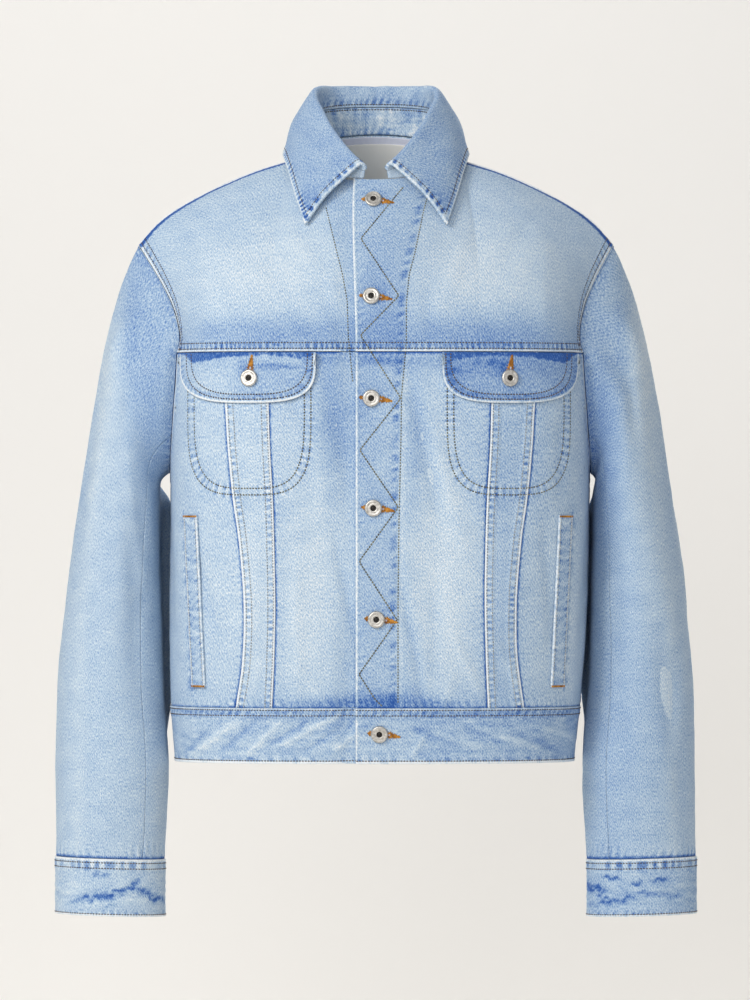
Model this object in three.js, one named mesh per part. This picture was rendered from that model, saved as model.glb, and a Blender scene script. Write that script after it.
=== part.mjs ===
// A light-wash denim jacket, buttoned up and filled out as if it were worn, with nothing inside it.
// Millimetres, +Z up. The front faces -Y, and "left" and "right" are the wearer's, so left is +X.
// The origin is the middle of the neck opening, where a wearer's neck and shoulders carry the jacket.
import * as THREE from "three";

// Driving dimensions
const denim = 1.8; // one ply with its felled seams
const pocketCloth = 1.2; // one ply without seams
const doubled = 2.6; // two plies sewn together: waistband, cuffs and collar
const seamGap = 0.3; // between the solids of two pieces that are sewn together
const yokeSeamZ = -194;
const waistSeamZ = -545;
const hemZ = -600;
const underarmZ = -312;
const armholeFront = 64; // how far the armhole reaches in front of the side seam
const armholeBack = 58;
const frontEdgeX = -20; // the left front's edge, which laps over the right front
const underEdgeX = 22; // the right front's edge, underneath
const lap = { startX: -46, width: 22, clear: 0.6 }; // where the right front dips under the left one
const buttonRadius = 8.5;
const buttonShank = 0.5; // how far a button stands off the cloth

// A row for each level of the body, from the hem up
const bodySections = [
  { z: -640, centreX: -1.5, halfWidth: 197, front: 120, back: 114, square: 2.7 },
  { z: -600, centreX: -1.5, halfWidth: 199, front: 124, back: 117, square: 2.75 },
  { z: -545, centreX: -0.5, halfWidth: 204, front: 130, back: 122, square: 2.85 },
  { z: -460, centreX: 2, halfWidth: 208, front: 136, back: 127, square: 2.95 },
  { z: -340, centreX: 4, halfWidth: 209, front: 139, back: 130, square: 3.1 },
  { z: -250, centreX: 4, halfWidth: 208, front: 139, back: 130, square: 3.2 },
  { z: -194, centreX: 4, halfWidth: 206.5, front: 136, back: 128, square: 3.2 },
  { z: -140, centreX: 4, halfWidth: 204, front: 130, back: 124, square: 3.2 },
];

// The largest soft folds of the body: a trough or ridge running down it. angle is round the body from the
// centre front in degrees, low and high are the heights it fades out at, depth is out of the cloth
const bodyFolds = [
  { angle: -14, lean: -3, low: -545, high: -205, width: 5.5, depth: -2.4 },
  { angle: 15, lean: 3, low: -545, high: -215, width: 6, depth: -2.2 },
  { angle: -31, lean: 1, low: -520, high: -300, width: 5, depth: 1.8 },
  { angle: 33, lean: 2, low: -530, high: -330, width: 5, depth: 1.6 },
  { angle: 72, lean: 6, low: -540, high: -300, width: 8, depth: -3 },
  { angle: -74, lean: -5, low: -530, high: -310, width: 8, depth: -3 },
  { angle: 118, lean: -6, low: -545, high: -230, width: 8, depth: 4 },
  { angle: -120, lean: 7, low: -545, high: -240, width: 9, depth: 4 },
  { angle: 146, lean: 5, low: -540, high: -260, width: 8, depth: -3.5 },
  { angle: -150, lean: -4, low: -540, high: -250, width: 8, depth: -3.5 },
];

// The two long seams down each front, as distances from the line that the fronts mirror about
const frontSeamCentreX = 4;
const frontSeams = [
  { z: -560, inner: 107, outer: 145 },
  { z: -500, inner: 104, outer: 136 },
  { z: -440, inner: 102.5, outer: 134 },
  { z: -380, inner: 103.5, outer: 139 },
  { z: -340, inner: 105, outer: 145 },
  { z: -290, inner: 108, outer: 150 },
  { z: -240, inner: 109.5, outer: 153 },
  { z: -180, inner: 111, outer: 156 },
];

// The back's two long seams, at this angle from the centre back in degrees, wider apart at the top
const backSeams = [
  { z: -560, angle: 24 },
  { z: -370, angle: 29 },
  { z: -180, angle: 37 },
];

// The left shoulder seam, from the neck to the shoulder point
const shoulderSeam = [
  { at: 0, x: 77.9, y: -6.9, z: 1.3 },
  { at: 0.28, x: 123, y: -7, z: -13 },
  { at: 0.54, x: 165, y: -7, z: -31.3 },
  { at: 0.78, x: 202, y: -6, z: -51.6 },
  { at: 0.9, x: 222, y: -5, z: -67.8 },
  { at: 1, x: 237, y: -4, z: -85.5 },
];

// How a yoke's cloth leaves its lower seam and meets the neck (at 0 to 1) or the shoulder seam (at 1 to 2)
const frontYokeLean = [
  { at: 0, riseX: 0, riseY: 0, riseZ: 150, topX: 0, topY: 85, topZ: 130 },
  { at: 0.5, riseX: 0, riseY: 0, riseZ: 150, topX: -28, topY: 92, topZ: 118 },
  { at: 0.8, riseX: 0, riseY: 0, riseZ: 155, topX: -58, topY: 105, topZ: 90 },
  { at: 1, riseX: 0, riseY: 0, riseZ: 160, topX: -62, topY: 125, topZ: 70 },
  { at: 1.25, riseX: 0, riseY: -3, riseZ: 158, topX: -34, topY: 145, topZ: 58 },
  { at: 1.5, riseX: 0, riseY: -6, riseZ: 150, topX: -6, topY: 148, topZ: 52 },
  { at: 1.8, riseX: -16, riseY: -8, riseZ: 120, topX: 14, topY: 110, topZ: 58 },
  { at: 2, riseX: -42, riseY: -6, riseZ: 95, topX: 40, topY: 76, topZ: 68 },
];
const backYokeLean = [
  { at: 0, riseX: 0, riseY: 0, riseZ: 170, topX: 0, topY: -80, topZ: 150 },
  { at: 0.5, riseX: 0, riseY: 0, riseZ: 172, topX: -36, topY: -86, topZ: 125 },
  { at: 0.8, riseX: 0, riseY: 1, riseZ: 176, topX: -72, topY: -96, topZ: 70 },
  { at: 1, riseX: 0, riseY: 2, riseZ: 180, topX: -76, topY: -118, topZ: 22 },
  { at: 1.25, riseX: 0, riseY: 4, riseZ: 176, topX: -40, topY: -146, topZ: -14 },
  { at: 1.5, riseX: 0, riseY: 6, riseZ: 168, topX: -8, topY: -148, topZ: -30 },
  { at: 1.8, riseX: -6, riseY: 8, riseZ: 125, topX: -6, topY: -105, topZ: -10 },
  { at: 2, riseX: -16, riseY: 8, riseZ: 95, topX: 14, topY: -60, topZ: 45 },
];

// The neck seam: an oval that is higher at the back
const neck = { halfWidth: 78, halfDepth: 70, shiftY: -2, midZ: 3, tiltZ: 25, shoulderAngle: 86 };
const yokeNeckSpread = 104; // half the width of the cloth at the yoke seam that runs up to the neck

// The collar, from the centre back round to the front: angle is round the neck from the centre back, the
// ridge is where it folds, the edge is its outer edge, a few millimetres off the yokes, and bulge is how far it
// stands out between the two
const collarStations = [
  { angle: 0, ridgeX: 0, ridgeY: 68, ridgeZ: 73.5, edgeX: 0, edgeY: 89.7, edgeZ: 8.5, bulge: 5 },
  { angle: 30, ridgeX: 35, ridgeY: 62, ridgeZ: 73.5, edgeX: 56, edgeY: 75, edgeZ: 5.5, bulge: 5 },
  { angle: 58, ridgeX: 54, ridgeY: 41, ridgeZ: 72, edgeX: 85.5, edgeY: 42, edgeZ: 6, bulge: 4.5 },
  { angle: 84, ridgeX: 58, ridgeY: 13, ridgeZ: 62, edgeX: 90.5, edgeY: 13, edgeZ: 5.5, bulge: 3.5 },
  { angle: 108, ridgeX: 51, ridgeY: -14, ridgeZ: 46, edgeX: 90, edgeY: -11.5, edgeZ: 1, bulge: 3 },
  { angle: 132, ridgeX: 41, ridgeY: -38, ridgeZ: 27, edgeX: 85, edgeY: -39.5, edgeZ: -16, bulge: 4 },
  { angle: 152, ridgeX: 27, ridgeY: -60, ridgeZ: 7, edgeX: 77.5, edgeY: -67.5, edgeZ: -43, bulge: 4 },
  { angle: 171, ridgeX: 11.5, ridgeY: -78, ridgeZ: -10, edgeX: 69.2, edgeY: -88.8, edgeZ: -68.4, bulge: 3 },
];
const collarEnd = 171; // degrees from the centre back to the collar's front edge
const standShare = 0.6; // of the way up from the neck seam to the fold
const collarFoldHalf = 3.4; // half the width of the fold

// The left sleeve, from the armhole to the cuff: its outer and inner points, and its depth
const sleeveRings = [
  { at: 0, outX: 237, outZ: -85.5, inX: 204, inZ: -312, midY: -1, depth: 60 },
  { at: 0.06, outX: 245.5, outZ: -103, inX: 212, inZ: -319, midY: 0, depth: 66 },
  { at: 0.13, outX: 257, outZ: -133, inX: 215, inZ: -327, midY: 3, depth: 70 },
  { at: 0.22, outX: 268.5, outZ: -178, inX: 216, inZ: -338, midY: 5, depth: 73 },
  { at: 0.32, outX: 279, outZ: -236, inX: 216, inZ: -355, midY: 7, depth: 74 },
  { at: 0.42, outX: 290.5, outZ: -304, inX: 216, inZ: -383, midY: 9, depth: 72 },
  { at: 0.52, outX: 302, outZ: -374, inX: 215, inZ: -420, midY: 8, depth: 69 },
  { at: 0.63, outX: 310.5, outZ: -444, inX: 214, inZ: -468, midY: 5, depth: 66 },
  { at: 0.75, outX: 317, outZ: -520, inX: 212, inZ: -530, midY: 0, depth: 62 },
  { at: 0.88, outX: 318.5, outZ: -608, inX: 207, inZ: -610, midY: -6, depth: 55 },
  { at: 1, outX: 319, outZ: -694.8, inX: 211, inZ: -697.8, midY: -10, depth: 43 },
];
const cuffHeight = 57;
const cuffRing = { outX: 319.8, inX: 210.8, midY: -10, depth: 42, outZ: -695, inZ: -698 };
const cuffProud = 0.6; // outside the sleeve's surface
const cuffLapAngle = 235; // where the cuff's ends lap, at the back of the wrist
const cuffLap = 30; // degrees of the cuff's end that lie under the other

// The sleeves' largest folds, running down from the armhole. angle is round the sleeve from its outer line
const foldSpread = 60; // about half the sleeve's width, which a fold's depth is shared over
const sleeveFolds = [
  { angle: 38, lean: -6, low: 0.02, high: 0.34, width: 11, depth: 3.5 },
  { angle: 66, lean: 4, low: 0.04, high: 0.4, width: 13, depth: -5 },
  { angle: 12, lean: 8, low: 0.08, high: 0.6, width: 10, depth: 2.5 },
  { angle: 118, lean: 10, low: 0.3, high: 0.9, width: 14, depth: -3.5 },
  { angle: 300, lean: -10, low: 0.06, high: 0.45, width: 14, depth: -4.5 },
  { angle: 262, lean: 8, low: 0.34, high: 0.8, width: 14, depth: 4 },
  { angle: 232, lean: -8, low: 0.4, high: 0.95, width: 12, depth: -3.5 },
];

// Pockets, mirrored about this line
const pocketCentreX = 3;
const weltCentreX = 2;
const chestPocket = { middle: 128, halfWidth: 64, top: -197.5, bottom: -338, round: 84, power: 3.6 };
const pocketFlap = { middle: 128, halfWidth: 66, top: -195.3, bottom: -244.5, round: 41, power: 3.2 };
const weltPocket = { topX: 184, topZ: -355, bottomX: 176, bottomZ: -525, width: 13 };

// The front buttons, from the neck to the waistband
const frontButtons = [
  { x: -3, z: -43 },
  { x: -5, z: -139.5 },
  { x: -5, z: -240 },
  { x: -3, z: -348 },
  { x: 0, z: -457.5 },
  { x: 3, z: -570.5 },
];
const flapButtonZ = -220;
const cuffButtonDown = 30; // from the cuff's upper edge

const degrees = Math.PI / 180;
const clamp01 = (value) => Math.min(1, Math.max(0, value));
const mix = (a, b, share) => a + (b - a) * share;
const smooth = (value) => {
  const t = clamp01(value);
  return t * t * (3 - 2 * t);
};

// A column of a table at a value of its first column, on a smooth curve through the rows
function lookUp(table, key, at, column) {
  const last = table.length - 1;
  let i = 0;
  while (i < last - 1 && at > table[i + 1][key]) i += 1;
  const slope = (j) => {
    const a = table[Math.max(j - 1, 0)];
    const b = table[Math.min(j + 1, last)];
    return (b[column] - a[column]) / (b[key] - a[key]);
  };
  const low = table[i];
  const high = table[i + 1];
  const width = high[key] - low[key];
  const t = (at - low[key]) / width;
  if (t < 0) return low[column] + slope(i) * (at - low[key]);
  if (t > 1) return high[column] + slope(i + 1) * (at - high[key]);
  const t2 = t * t;
  const t3 = t2 * t;
  return (
    (2 * t3 - 3 * t2 + 1) * low[column] +
    (t3 - 2 * t2 + t) * width * slope(i) +
    (3 * t2 - 2 * t3) * high[column] +
    (t3 - t2) * width * slope(i + 1)
  );
}

// How far the folds of a table move the cloth out, at an angle in degrees and a height
function foldDepth(folds, angle, along) {
  return folds.reduce((sum, fold) => {
    const share = (along - fold.low) / (fold.high - fold.low);
    if (share <= 0 || share >= 1) return sum;
    let away = angle - fold.angle - fold.lean * (share - 0.5) * 2;
    away -= 360 * Math.round(away / 360);
    return sum + fold.depth * Math.sin(Math.PI * share) ** 2 * Math.exp(-((away / fold.width) ** 2));
  }, 0);
}

// The body: a rounded ring at each height. angle is from the centre front towards the wearer's left
function bodyPoint(angle, z) {
  const at = (column) => lookUp(bodySections, "z", z, column);
  const power = at("square");
  const s = Math.sin(angle);
  const c = Math.cos(angle);
  const reach = (Math.abs(s) ** power + Math.abs(c) ** power) ** (-1 / power);
  const out = foldDepth(bodyFolds, angle / degrees, z);
  const halfWidth = at("halfWidth") + out;
  const depth = at(c > 0 ? "front" : "back") + out;
  return new THREE.Vector3(at("centreX") + halfWidth * s * reach, -depth * c * reach, z);
}

// The ring's angle where the front is at x
function frontAngle(x, z) {
  const power = lookUp(bodySections, "z", z, "square");
  const across = (x - lookUp(bodySections, "z", z, "centreX")) / lookUp(bodySections, "z", z, "halfWidth");
  const forward = (1 - Math.min(Math.abs(across), 0.9999) ** power) ** (1 / power);
  return Math.atan2(across, forward);
}

// The ring's angle on one side where it is y behind the side seam
function sideAngle(side, y, z) {
  const power = lookUp(bodySections, "z", z, "square");
  const depth = lookUp(bodySections, "z", z, y < 0 ? "front" : "back");
  const forward = -y / depth;
  const across = (1 - Math.abs(forward) ** power) ** (1 / power);
  return side * Math.atan2(across, forward);
}

// A point of a surface with its outward normal, from a function of two parameters
function onSurface(surface, u, v, du, dv) {
  const alongU = surface(u + du, v).sub(surface(u - du, v));
  const alongV = surface(u, v + dv).sub(surface(u, v - dv));
  return { p: surface(u, v), n: alongU.cross(alongV).normalize() };
}
const onBody = (angle, z) => onSurface(bodyPoint, angle, z, 0.004, 0.4);

function neckPoint(angle) {
  return new THREE.Vector3(
    neck.halfWidth * Math.sin(angle),
    neck.shiftY - neck.halfDepth * Math.cos(angle),
    neck.midZ - neck.tiltZ * Math.cos(angle),
  );
}

const armFrontAngle = (side) => sideAngle(side, -armholeFront, yokeSeamZ);
const armBackAngle = (side) => sideAngle(side, armholeBack, yokeSeamZ);

// A yoke: columns of cloth from its lower seam up to the neck (|at| to 1) and the shoulder seam (|at| to 2)
function yokePoint(isBack, at, share) {
  const side = at < 0 ? -1 : 1;
  const q = Math.abs(at);
  const neckAngle = Math.min(q, 1) * (isBack ? 180 - neck.shoulderAngle : neck.shoulderAngle) * degrees;
  const lowerX = yokeNeckSpread * Math.min(q, 1) * side;
  let angle = frontAngle(lowerX, yokeSeamZ);
  if (q > 1) angle = mix(angle, armFrontAngle(side), q - 1);
  if (isBack) {
    const fromBack = frontAngle(lowerX, yokeSeamZ);
    angle = side * Math.PI - fromBack;
    if (q > 1) angle = mix(angle, armBackAngle(side), q - 1);
  }
  const bottom = bodyPoint(angle, yokeSeamZ);
  const top = neckPoint(side * (isBack ? Math.PI - neckAngle : neckAngle));
  if (q > 1) {
    top.set(
      side * lookUp(shoulderSeam, "at", q - 1, "x"),
      lookUp(shoulderSeam, "at", q - 1, "y"),
      lookUp(shoulderSeam, "at", q - 1, "z"),
    );
  }
  const lean = (column) => lookUp(isBack ? backYokeLean : frontYokeLean, "at", Math.min(q, 2), column);
  const rise = new THREE.Vector3(side * lean("riseX"), lean("riseY"), lean("riseZ"));
  const arrive = new THREE.Vector3(side * lean("topX"), lean("topY"), lean("topZ"));
  const t = share;
  const h0 = (1 - t) ** 2 * (1 + 2 * t);
  const h1 = t * (1 - t) ** 2;
  const h2 = t * t * (3 - 2 * t);
  const h3 = t * t * (t - 1);
  bottom.multiplyScalar(h0).addScaledVector(rise, h1);
  return bottom.addScaledVector(top, h2).addScaledVector(arrive, h3);
}
function yokeNormal(isBack, at, share) {
  const inFrom = Math.min(Math.abs(at), 1.99) * Math.sign(at);
  const found = onSurface((u, v) => yokePoint(isBack, u, v), inFrom, share, 0.004, 0.004);
  return isBack ? found.n.negate() : found.n;
}
// Both yokes have one normal where they meet along the shoulder seam
function onYoke(isBack, at, share) {
  const n = yokeNormal(isBack, at, share);
  if (Math.abs(at) > 1 && share > 0.9) {
    const shared = yokeNormal(false, at, 1).add(yokeNormal(true, at, 1)).normalize();
    n.lerp(shared, smooth((share - 0.9) / 0.09)).normalize();
  }
  return { p: yokePoint(isBack, at, share), n };
}

// The armhole: over the shoulder point along the yokes' ends, and down round the underarm on the body.
// turn is in degrees: 0 at the shoulder point, 90 at the front, 180 at the underarm
const upperTurn = 80;
function armholeTopZ(y) {
  const across = y < 0 ? -y / armholeFront : y / armholeBack;
  return underarmZ + (yokeSeamZ - underarmZ) * (1 - Math.sqrt(Math.max(0, 1 - Math.min(1, across) ** 2)));
}
function armholeEdge(side, turn) {
  const around = turn > 180 ? 360 - turn : turn;
  const isBack = turn > 180;
  if (around < upperTurn) return onYoke(isBack, side * 2, 1 - around / upperTurn);
  const low = ((around - upperTurn) / (180 - upperTurn)) * 90 * degrees;
  const y = isBack ? armholeBack * Math.cos(low) : -armholeFront * Math.cos(low);
  const z = armholeTopZ(y);
  return onBody(sideAngle(side, y, z), z);
}

// The sleeve: an oval ring at each place, which takes the armhole's shape at its top
const ringCentre = (side, at) => {
  const ring = (column) => lookUp(sleeveRings, "at", at, column);
  const x = (side * (ring("outX") + ring("inX"))) / 2;
  return new THREE.Vector3(x, ring("midY"), (ring("outZ") + ring("inZ")) / 2);
};
function plainRing(side, at, turn) {
  const ring = (column) => lookUp(sleeveRings, "at", at, column);
  const angle = turn * degrees;
  const out = foldDepth(sleeveFolds, turn, at);
  const wide = Math.cos(angle) * (1 + out / foldSpread);
  const deep = Math.sin(angle) * (ring("depth") + out);
  const centre = ringCentre(side, at);
  return new THREE.Vector3(
    centre.x + (side * wide * (ring("outX") - ring("inX"))) / 2,
    centre.y - deep,
    centre.z + (wide * (ring("outZ") - ring("inZ"))) / 2,
  );
}
function sleevePoint(side, at, turn) {
  const p = plainRing(side, Math.max(at, 0), turn);
  const fade = 1 - smooth(at / 0.24);
  if (fade <= 0) return p;
  const wrapped = ((turn % 360) + 360) % 360;
  const pull = armholeEdge(side, wrapped).p.sub(plainRing(side, 0, turn));
  return p.addScaledVector(pull, fade);
}
function onSleeve(side, at, turn) {
  const du = 0.006;
  const from = Math.max(at, du);
  const alongTurn = sleevePoint(side, at, turn + 1).sub(sleevePoint(side, at, turn - 1));
  const along = sleevePoint(side, from + du, turn).sub(sleevePoint(side, from - du, turn));
  return { p: sleevePoint(side, at, turn), n: alongTurn.cross(along).normalize().multiplyScalar(side) };
}

// A closed wall from rows of points with outward normals: the points are its outside
function wallSolid(rows, thickness) {
  const across = rows[0].length;
  const positions = [];
  for (const row of rows) for (const { p } of row) positions.push(p.x, p.y, p.z);
  for (const row of rows) {
    for (const { p, n } of row) {
      positions.push(p.x - n.x * thickness, p.y - n.y * thickness, p.z - n.z * thickness);
    }
  }
  const inner = rows.length * across;
  const index = [];
  const quad = (a, b, c, d) => index.push(a, b, c, a, c, d);
  const right = across - 1;
  for (let j = 0; j < rows.length - 1; j += 1) {
    for (let i = 0; i < right; i += 1) {
      const [low, high] = [j * across, (j + 1) * across];
      const [a, b, c, d] = [low + i, low + i + 1, high + i + 1, high + i];
      quad(a, b, c, d);
      quad(inner + d, inner + c, inner + b, inner + a);
    }
  }
  const top = (rows.length - 1) * across;
  for (let i = 0; i < right; i += 1) {
    const next = i + 1;
    quad(inner + i, inner + next, next, i);
    quad(top + i, top + next, inner + top + next, inner + top + i);
  }
  for (let j = 0; j < rows.length - 1; j += 1) {
    const [a, b] = [j * across, (j + 1) * across];
    quad(inner + a, a, b, inner + b);
    quad(a + right, inner + a + right, inner + b + right, b + right);
  }
  const geometry = new THREE.BufferGeometry();
  geometry.setAttribute("position", new THREE.Float32BufferAttribute(positions, 3));
  geometry.setIndex(index);
  if (signedVolume(geometry) < 0) geometry.setIndex(index.reverse());
  geometry.computeVertexNormals();
  return geometry;
}

function signedVolume(geometry) {
  const position = geometry.getAttribute("position");
  const index = geometry.index.array;
  const [a, b, c] = [new THREE.Vector3(), new THREE.Vector3(), new THREE.Vector3()];
  let volume = 0;
  for (let i = 0; i < index.length; i += 3) {
    a.fromBufferAttribute(position, index[i]);
    b.fromBufferAttribute(position, index[i + 1]);
    c.fromBufferAttribute(position, index[i + 2]);
    volume += a.dot(b.cross(c)) / 6;
  }
  return volume;
}

// Rows of points: place(across, up) for shares from 0 to 1
function gridRows(columns, rowCount, place) {
  return Array.from({ length: rowCount + 1 }, (_, j) =>
    Array.from({ length: columns + 1 }, (_, i) => place(i / columns, j / rowCount)),
  );
}

// The same point, moved out by a distance
const lifted = ({ p, n }, distance) => ({ p: p.clone().addScaledVector(n, distance), n });

const lightWash = new THREE.MeshStandardMaterial({ color: 0xa9c1de, roughness: 0.92, metalness: 0 });
const midWash = new THREE.MeshStandardMaterial({ color: 0x93b0d6, roughness: 0.92, metalness: 0 });
const brushedNickel = new THREE.MeshStandardMaterial({ color: 0xb9b3a6, roughness: 0.35, metalness: 0.9 });
const creamTape = new THREE.MeshStandardMaterial({ color: 0xd9d8d2, roughness: 0.85, metalness: 0 });

const jacket = new THREE.Group();
function addPiece(name, geometry, material) {
  const mesh = new THREE.Mesh(geometry, material);
  mesh.name = name;
  jacket.add(mesh);
  return mesh;
}
const sideNames = [
  { side: 1, name: "left" },
  { side: -1, name: "right" },
];

// The right front dips under the left one at the centre
const lapDip = (side, x) => (side > 0 ? 0 : (doubled + lap.clear) * smooth((x - lap.startX) / lap.width));
const frontEdge = (side) => (side > 0 ? frontEdgeX : underEdgeX);

// Yokes: rows of points at these shares of the way up, closer together where the cloth turns over
const yokeShares = [0.002, 0.16, 0.34, 0.52, 0.68, 0.8, 0.9, 0.998];
function addFrontYoke({ side, name }) {
  const edgeAt = (side * frontEdge(side)) / yokeNeckSpread;
  const last = yokeShares.length - 1;
  const rows = gridRows(14, last, (a, b) => {
    const at = a < 0.4 ? mix(edgeAt, 0.99, a / 0.4) : mix(1.01, 1.998, (a - 0.4) / 0.6);
    const found = onYoke(false, side * at, yokeShares[Math.round(b * last)]);
    return lifted(found, -lapDip(side, found.p.x));
  });
  addPiece(`front_yoke_${name}`, wallSolid(rows, denim), lightWash);
}
function addBackYoke() {
  const half = [-1.998, -1.8, -1.6, -1.4, -1.2, -1.01, -0.82, -0.64, -0.48, -0.32, -0.16];
  const ats = [...half, 0, ...half.map((at) => -at).reverse()];
  const [across, up] = [ats.length - 1, yokeShares.length - 1];
  const rows = gridRows(across, up, (a, b) => {
    const [i, j] = [Math.round(a * across), Math.round(b * up)];
    return onYoke(true, ats[i], yokeShares[j]);
  });
  addPiece("back_yoke", wallSolid(rows, denim), lightWash);
}

// Lower panels: between two lines of angle, up to the yoke seam or the armhole
function addBodyPanel(name, columns, rowCount, lineA, lineB, topOf, dip = () => 0) {
  const rows = gridRows(columns, rowCount, (a, b) => {
    const z0 = waistSeamZ + seamGap / 2;
    let z = mix(z0, yokeSeamZ, b);
    let angle = mix(lineA(z), lineB(z), a);
    for (let pass = 0; pass < 3; pass += 1) {
      z = mix(z0, topOf(angle, z) - seamGap, b);
      angle = mix(lineA(z), lineB(z), a);
    }
    const found = onBody(angle, z);
    return lifted(found, -dip(found.p.x));
  });
  addPiece(name, wallSolid(rows, denim), lightWash);
}
const gapAngle = seamGap / 2 / 170; // half a seam's gap, as an angle round the body
function frontSeamAngle(side, column, z) {
  return frontAngle(frontSeamCentreX + side * lookUp(frontSeams, "z", z, column), z);
}
const flatTop = () => yokeSeamZ;
function sideTop(side) {
  return (angle) => {
    let z = yokeSeamZ;
    for (let pass = 0; pass < 12; pass += 1) {
      const y = bodyPoint(angle, z).y;
      const inside = y < 0 ? -y < armholeFront : y < armholeBack;
      z = inside ? mix(z, armholeTopZ(y), 0.6) : yokeSeamZ;
    }
    return z;
  };
}
function addFrontPanels({ side, name }) {
  const edge = (z) => frontAngle(frontEdge(side), z);
  const inner = (z) => frontSeamAngle(side, "inner", z);
  const outer = (z) => frontSeamAngle(side, "outer", z);
  const gap = side * gapAngle;
  addBodyPanel(`front_centre_${name}`, 7, 11, edge, (z) => inner(z) - gap, flatTop, (x) => lapDip(side, x));
  addBodyPanel(`front_middle_${name}`, 2, 11, (z) => inner(z) + gap, (z) => outer(z) - gap, flatTop);
  const sideSeam = () => side * 90 * degrees - gap;
  addBodyPanel(`front_side_${name}`, 11, 11, (z) => outer(z) + gap, sideSeam, sideTop(side));
}
function backSeamAngle(side, z) {
  return side * (180 - lookUp(backSeams, "z", z, "angle")) * degrees;
}
function addBackPanels() {
  for (const { side, name } of sideNames) {
    const gap = side * gapAngle;
    const seam = (z) => backSeamAngle(side, z) - gap;
    addBodyPanel(`back_side_${name}`, 12, 11, () => side * 90 * degrees + gap, seam, sideTop(side));
  }
  const leftLine = (z) => backSeamAngle(1, z) + gapAngle;
  const rightLine = (z) => 2 * Math.PI + backSeamAngle(-1, z) - gapAngle;
  addBodyPanel("back_centre", 9, 11, leftLine, rightLine, flatTop);
}

// The waistband: two fronts that lap at the centre, and the back
const bandProud = 0.4; // outside the panels' surface
function addWaistband() {
  const band = (name, columns, lineA, lineB, dip) => {
    const rows = gridRows(columns, 2, (a, b) => {
      const z = mix(hemZ, waistSeamZ - seamGap / 2, b);
      const found = onBody(mix(lineA(z), lineB(z), a), z);
      return lifted(found, bandProud - dip(found.p.x));
    });
    addPiece(name, wallSolid(rows, doubled), midWash);
  };
  for (const { side, name } of sideNames) {
    const edge = (z) => frontAngle(frontEdge(side), z);
    band(`waistband_${name}`, 14, edge, () => side * (90 * degrees - gapAngle), (x) => lapDip(side, x));
  }
  band("waistband_back", 20, () => 90 * degrees + gapAngle, () => 270 * degrees - gapAngle, () => 0);
}

// The collar: a stand on the neck seam, and the fall that folds over it
function collarStation(around) {
  const side = around < 0 ? -1 : 1;
  const at = (column) => lookUp(collarStations, "angle", Math.abs(around), column);
  const foot = neckPoint(side * Math.PI - around * degrees);
  foot.z += seamGap + 0.2;
  return {
    foot,
    ridge: new THREE.Vector3(side * at("ridgeX"), at("ridgeY"), at("ridgeZ")),
    edge: new THREE.Vector3(side * at("edgeX"), at("edgeY"), at("edgeZ")),
    bulge: at("bulge"),
  };
}
function standPoint(around, share) {
  const { foot, ridge } = collarStation(around);
  return foot.clone().lerp(ridge, share);
}
function fallCurve(around) {
  const { foot, ridge, edge, bulge } = collarStation(around);
  const outward = edge.clone().sub(ridge).setZ(0).normalize();
  const up = ridge.clone().sub(foot).normalize();
  const drop = edge.clone().sub(ridge);
  const shoulder = ridge.clone().addScaledVector(outward, collarFoldHalf * 2).addScaledVector(drop, 0.1);
  const middle = ridge.clone().addScaledVector(outward, collarFoldHalf).addScaledVector(drop, 0.55);
  middle.addScaledVector(outward, bulge).setZ(middle.z + bulge * 0.6);
  const start = foot.clone().lerp(ridge, standShare).addScaledVector(up, 2 * seamGap);
  const near = foot.clone().lerp(ridge, 0.86);
  const crown = ridge.clone().addScaledVector(outward, collarFoldHalf).setZ(ridge.z + 1.2);
  return new THREE.CatmullRomCurve3([start, near, crown, shoulder, middle, edge], false, "catmullrom", 0.5);
}
const collarAround = (a) => mix(collarEnd, -collarEnd, a);
const onStand = (a, share) => onSurface((u, v) => standPoint(collarAround(u), v), a, share, 0.002, 0.01);
function addCollar() {
  const stand = gridRows(30, 2, (a, b) => onStand(a, b * standShare));
  addPiece("collar_stand", wallSolid(stand, denim), midWash);
  const curves = new Map();
  const fallPoint = (a, v) => {
    const key = a.toFixed(5);
    if (!curves.has(key)) curves.set(key, fallCurve(collarAround(a)));
    return curves.get(key).getPoint(clamp01(v));
  };
  const shares = [0, 0.18, 0.3, 0.4, 0.5, 0.6, 0.72, 0.86, 1];
  const fall = gridRows(30, shares.length - 1, (a, b) => {
    const v = shares[Math.round(b * (shares.length - 1))];
    const found = onSurface(fallPoint, a, v, 0.002, 0.01);
    if (b === 0) found.n = onStand(a, standShare).n;
    return found;
  });
  addPiece("collar_fall", wallSolid(fall, doubled), midWash);
}

// Sleeves, each a top and an under sleeve, with a cuff
const sleeveSplitFront = 128; // the front seam, round the sleeve from its outer line
const sleeveSplitBack = 262; // the back seam
const armholeGap = 1; // the sleeve's first ring stands this far out from the armhole
function addSleeve({ side, name }) {
  const part = (partName, columns, from, to) => {
    const ats = [0.004, 0.04, 0.09, 0.15, 0.22, 0.3, 0.39, 0.48, 0.57, 0.66, 0.75, 0.84, 0.92, 1];
    const rows = gridRows(columns, ats.length - 1, (a, b) => {
      const j = Math.round(b * (ats.length - 1));
      const turn = mix(from, to, a);
      const found = onSleeve(side, ats[j], turn);
      if (j === 0) {
        found.n = armholeEdge(side, ((turn % 360) + 360) % 360).n;
        found.p.x += side * armholeGap;
      }
      return found;
    });
    addPiece(`${partName}_${name}`, wallSolid(rows, denim), lightWash);
  };
  const gap = 0.26; // degrees, half of each seam's gap
  part("sleeve_top", 14, sleeveSplitBack - 360 + gap, sleeveSplitFront - gap);
  part("sleeve_under", 9, sleeveSplitBack - gap, sleeveSplitFront + gap);
}
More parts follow.
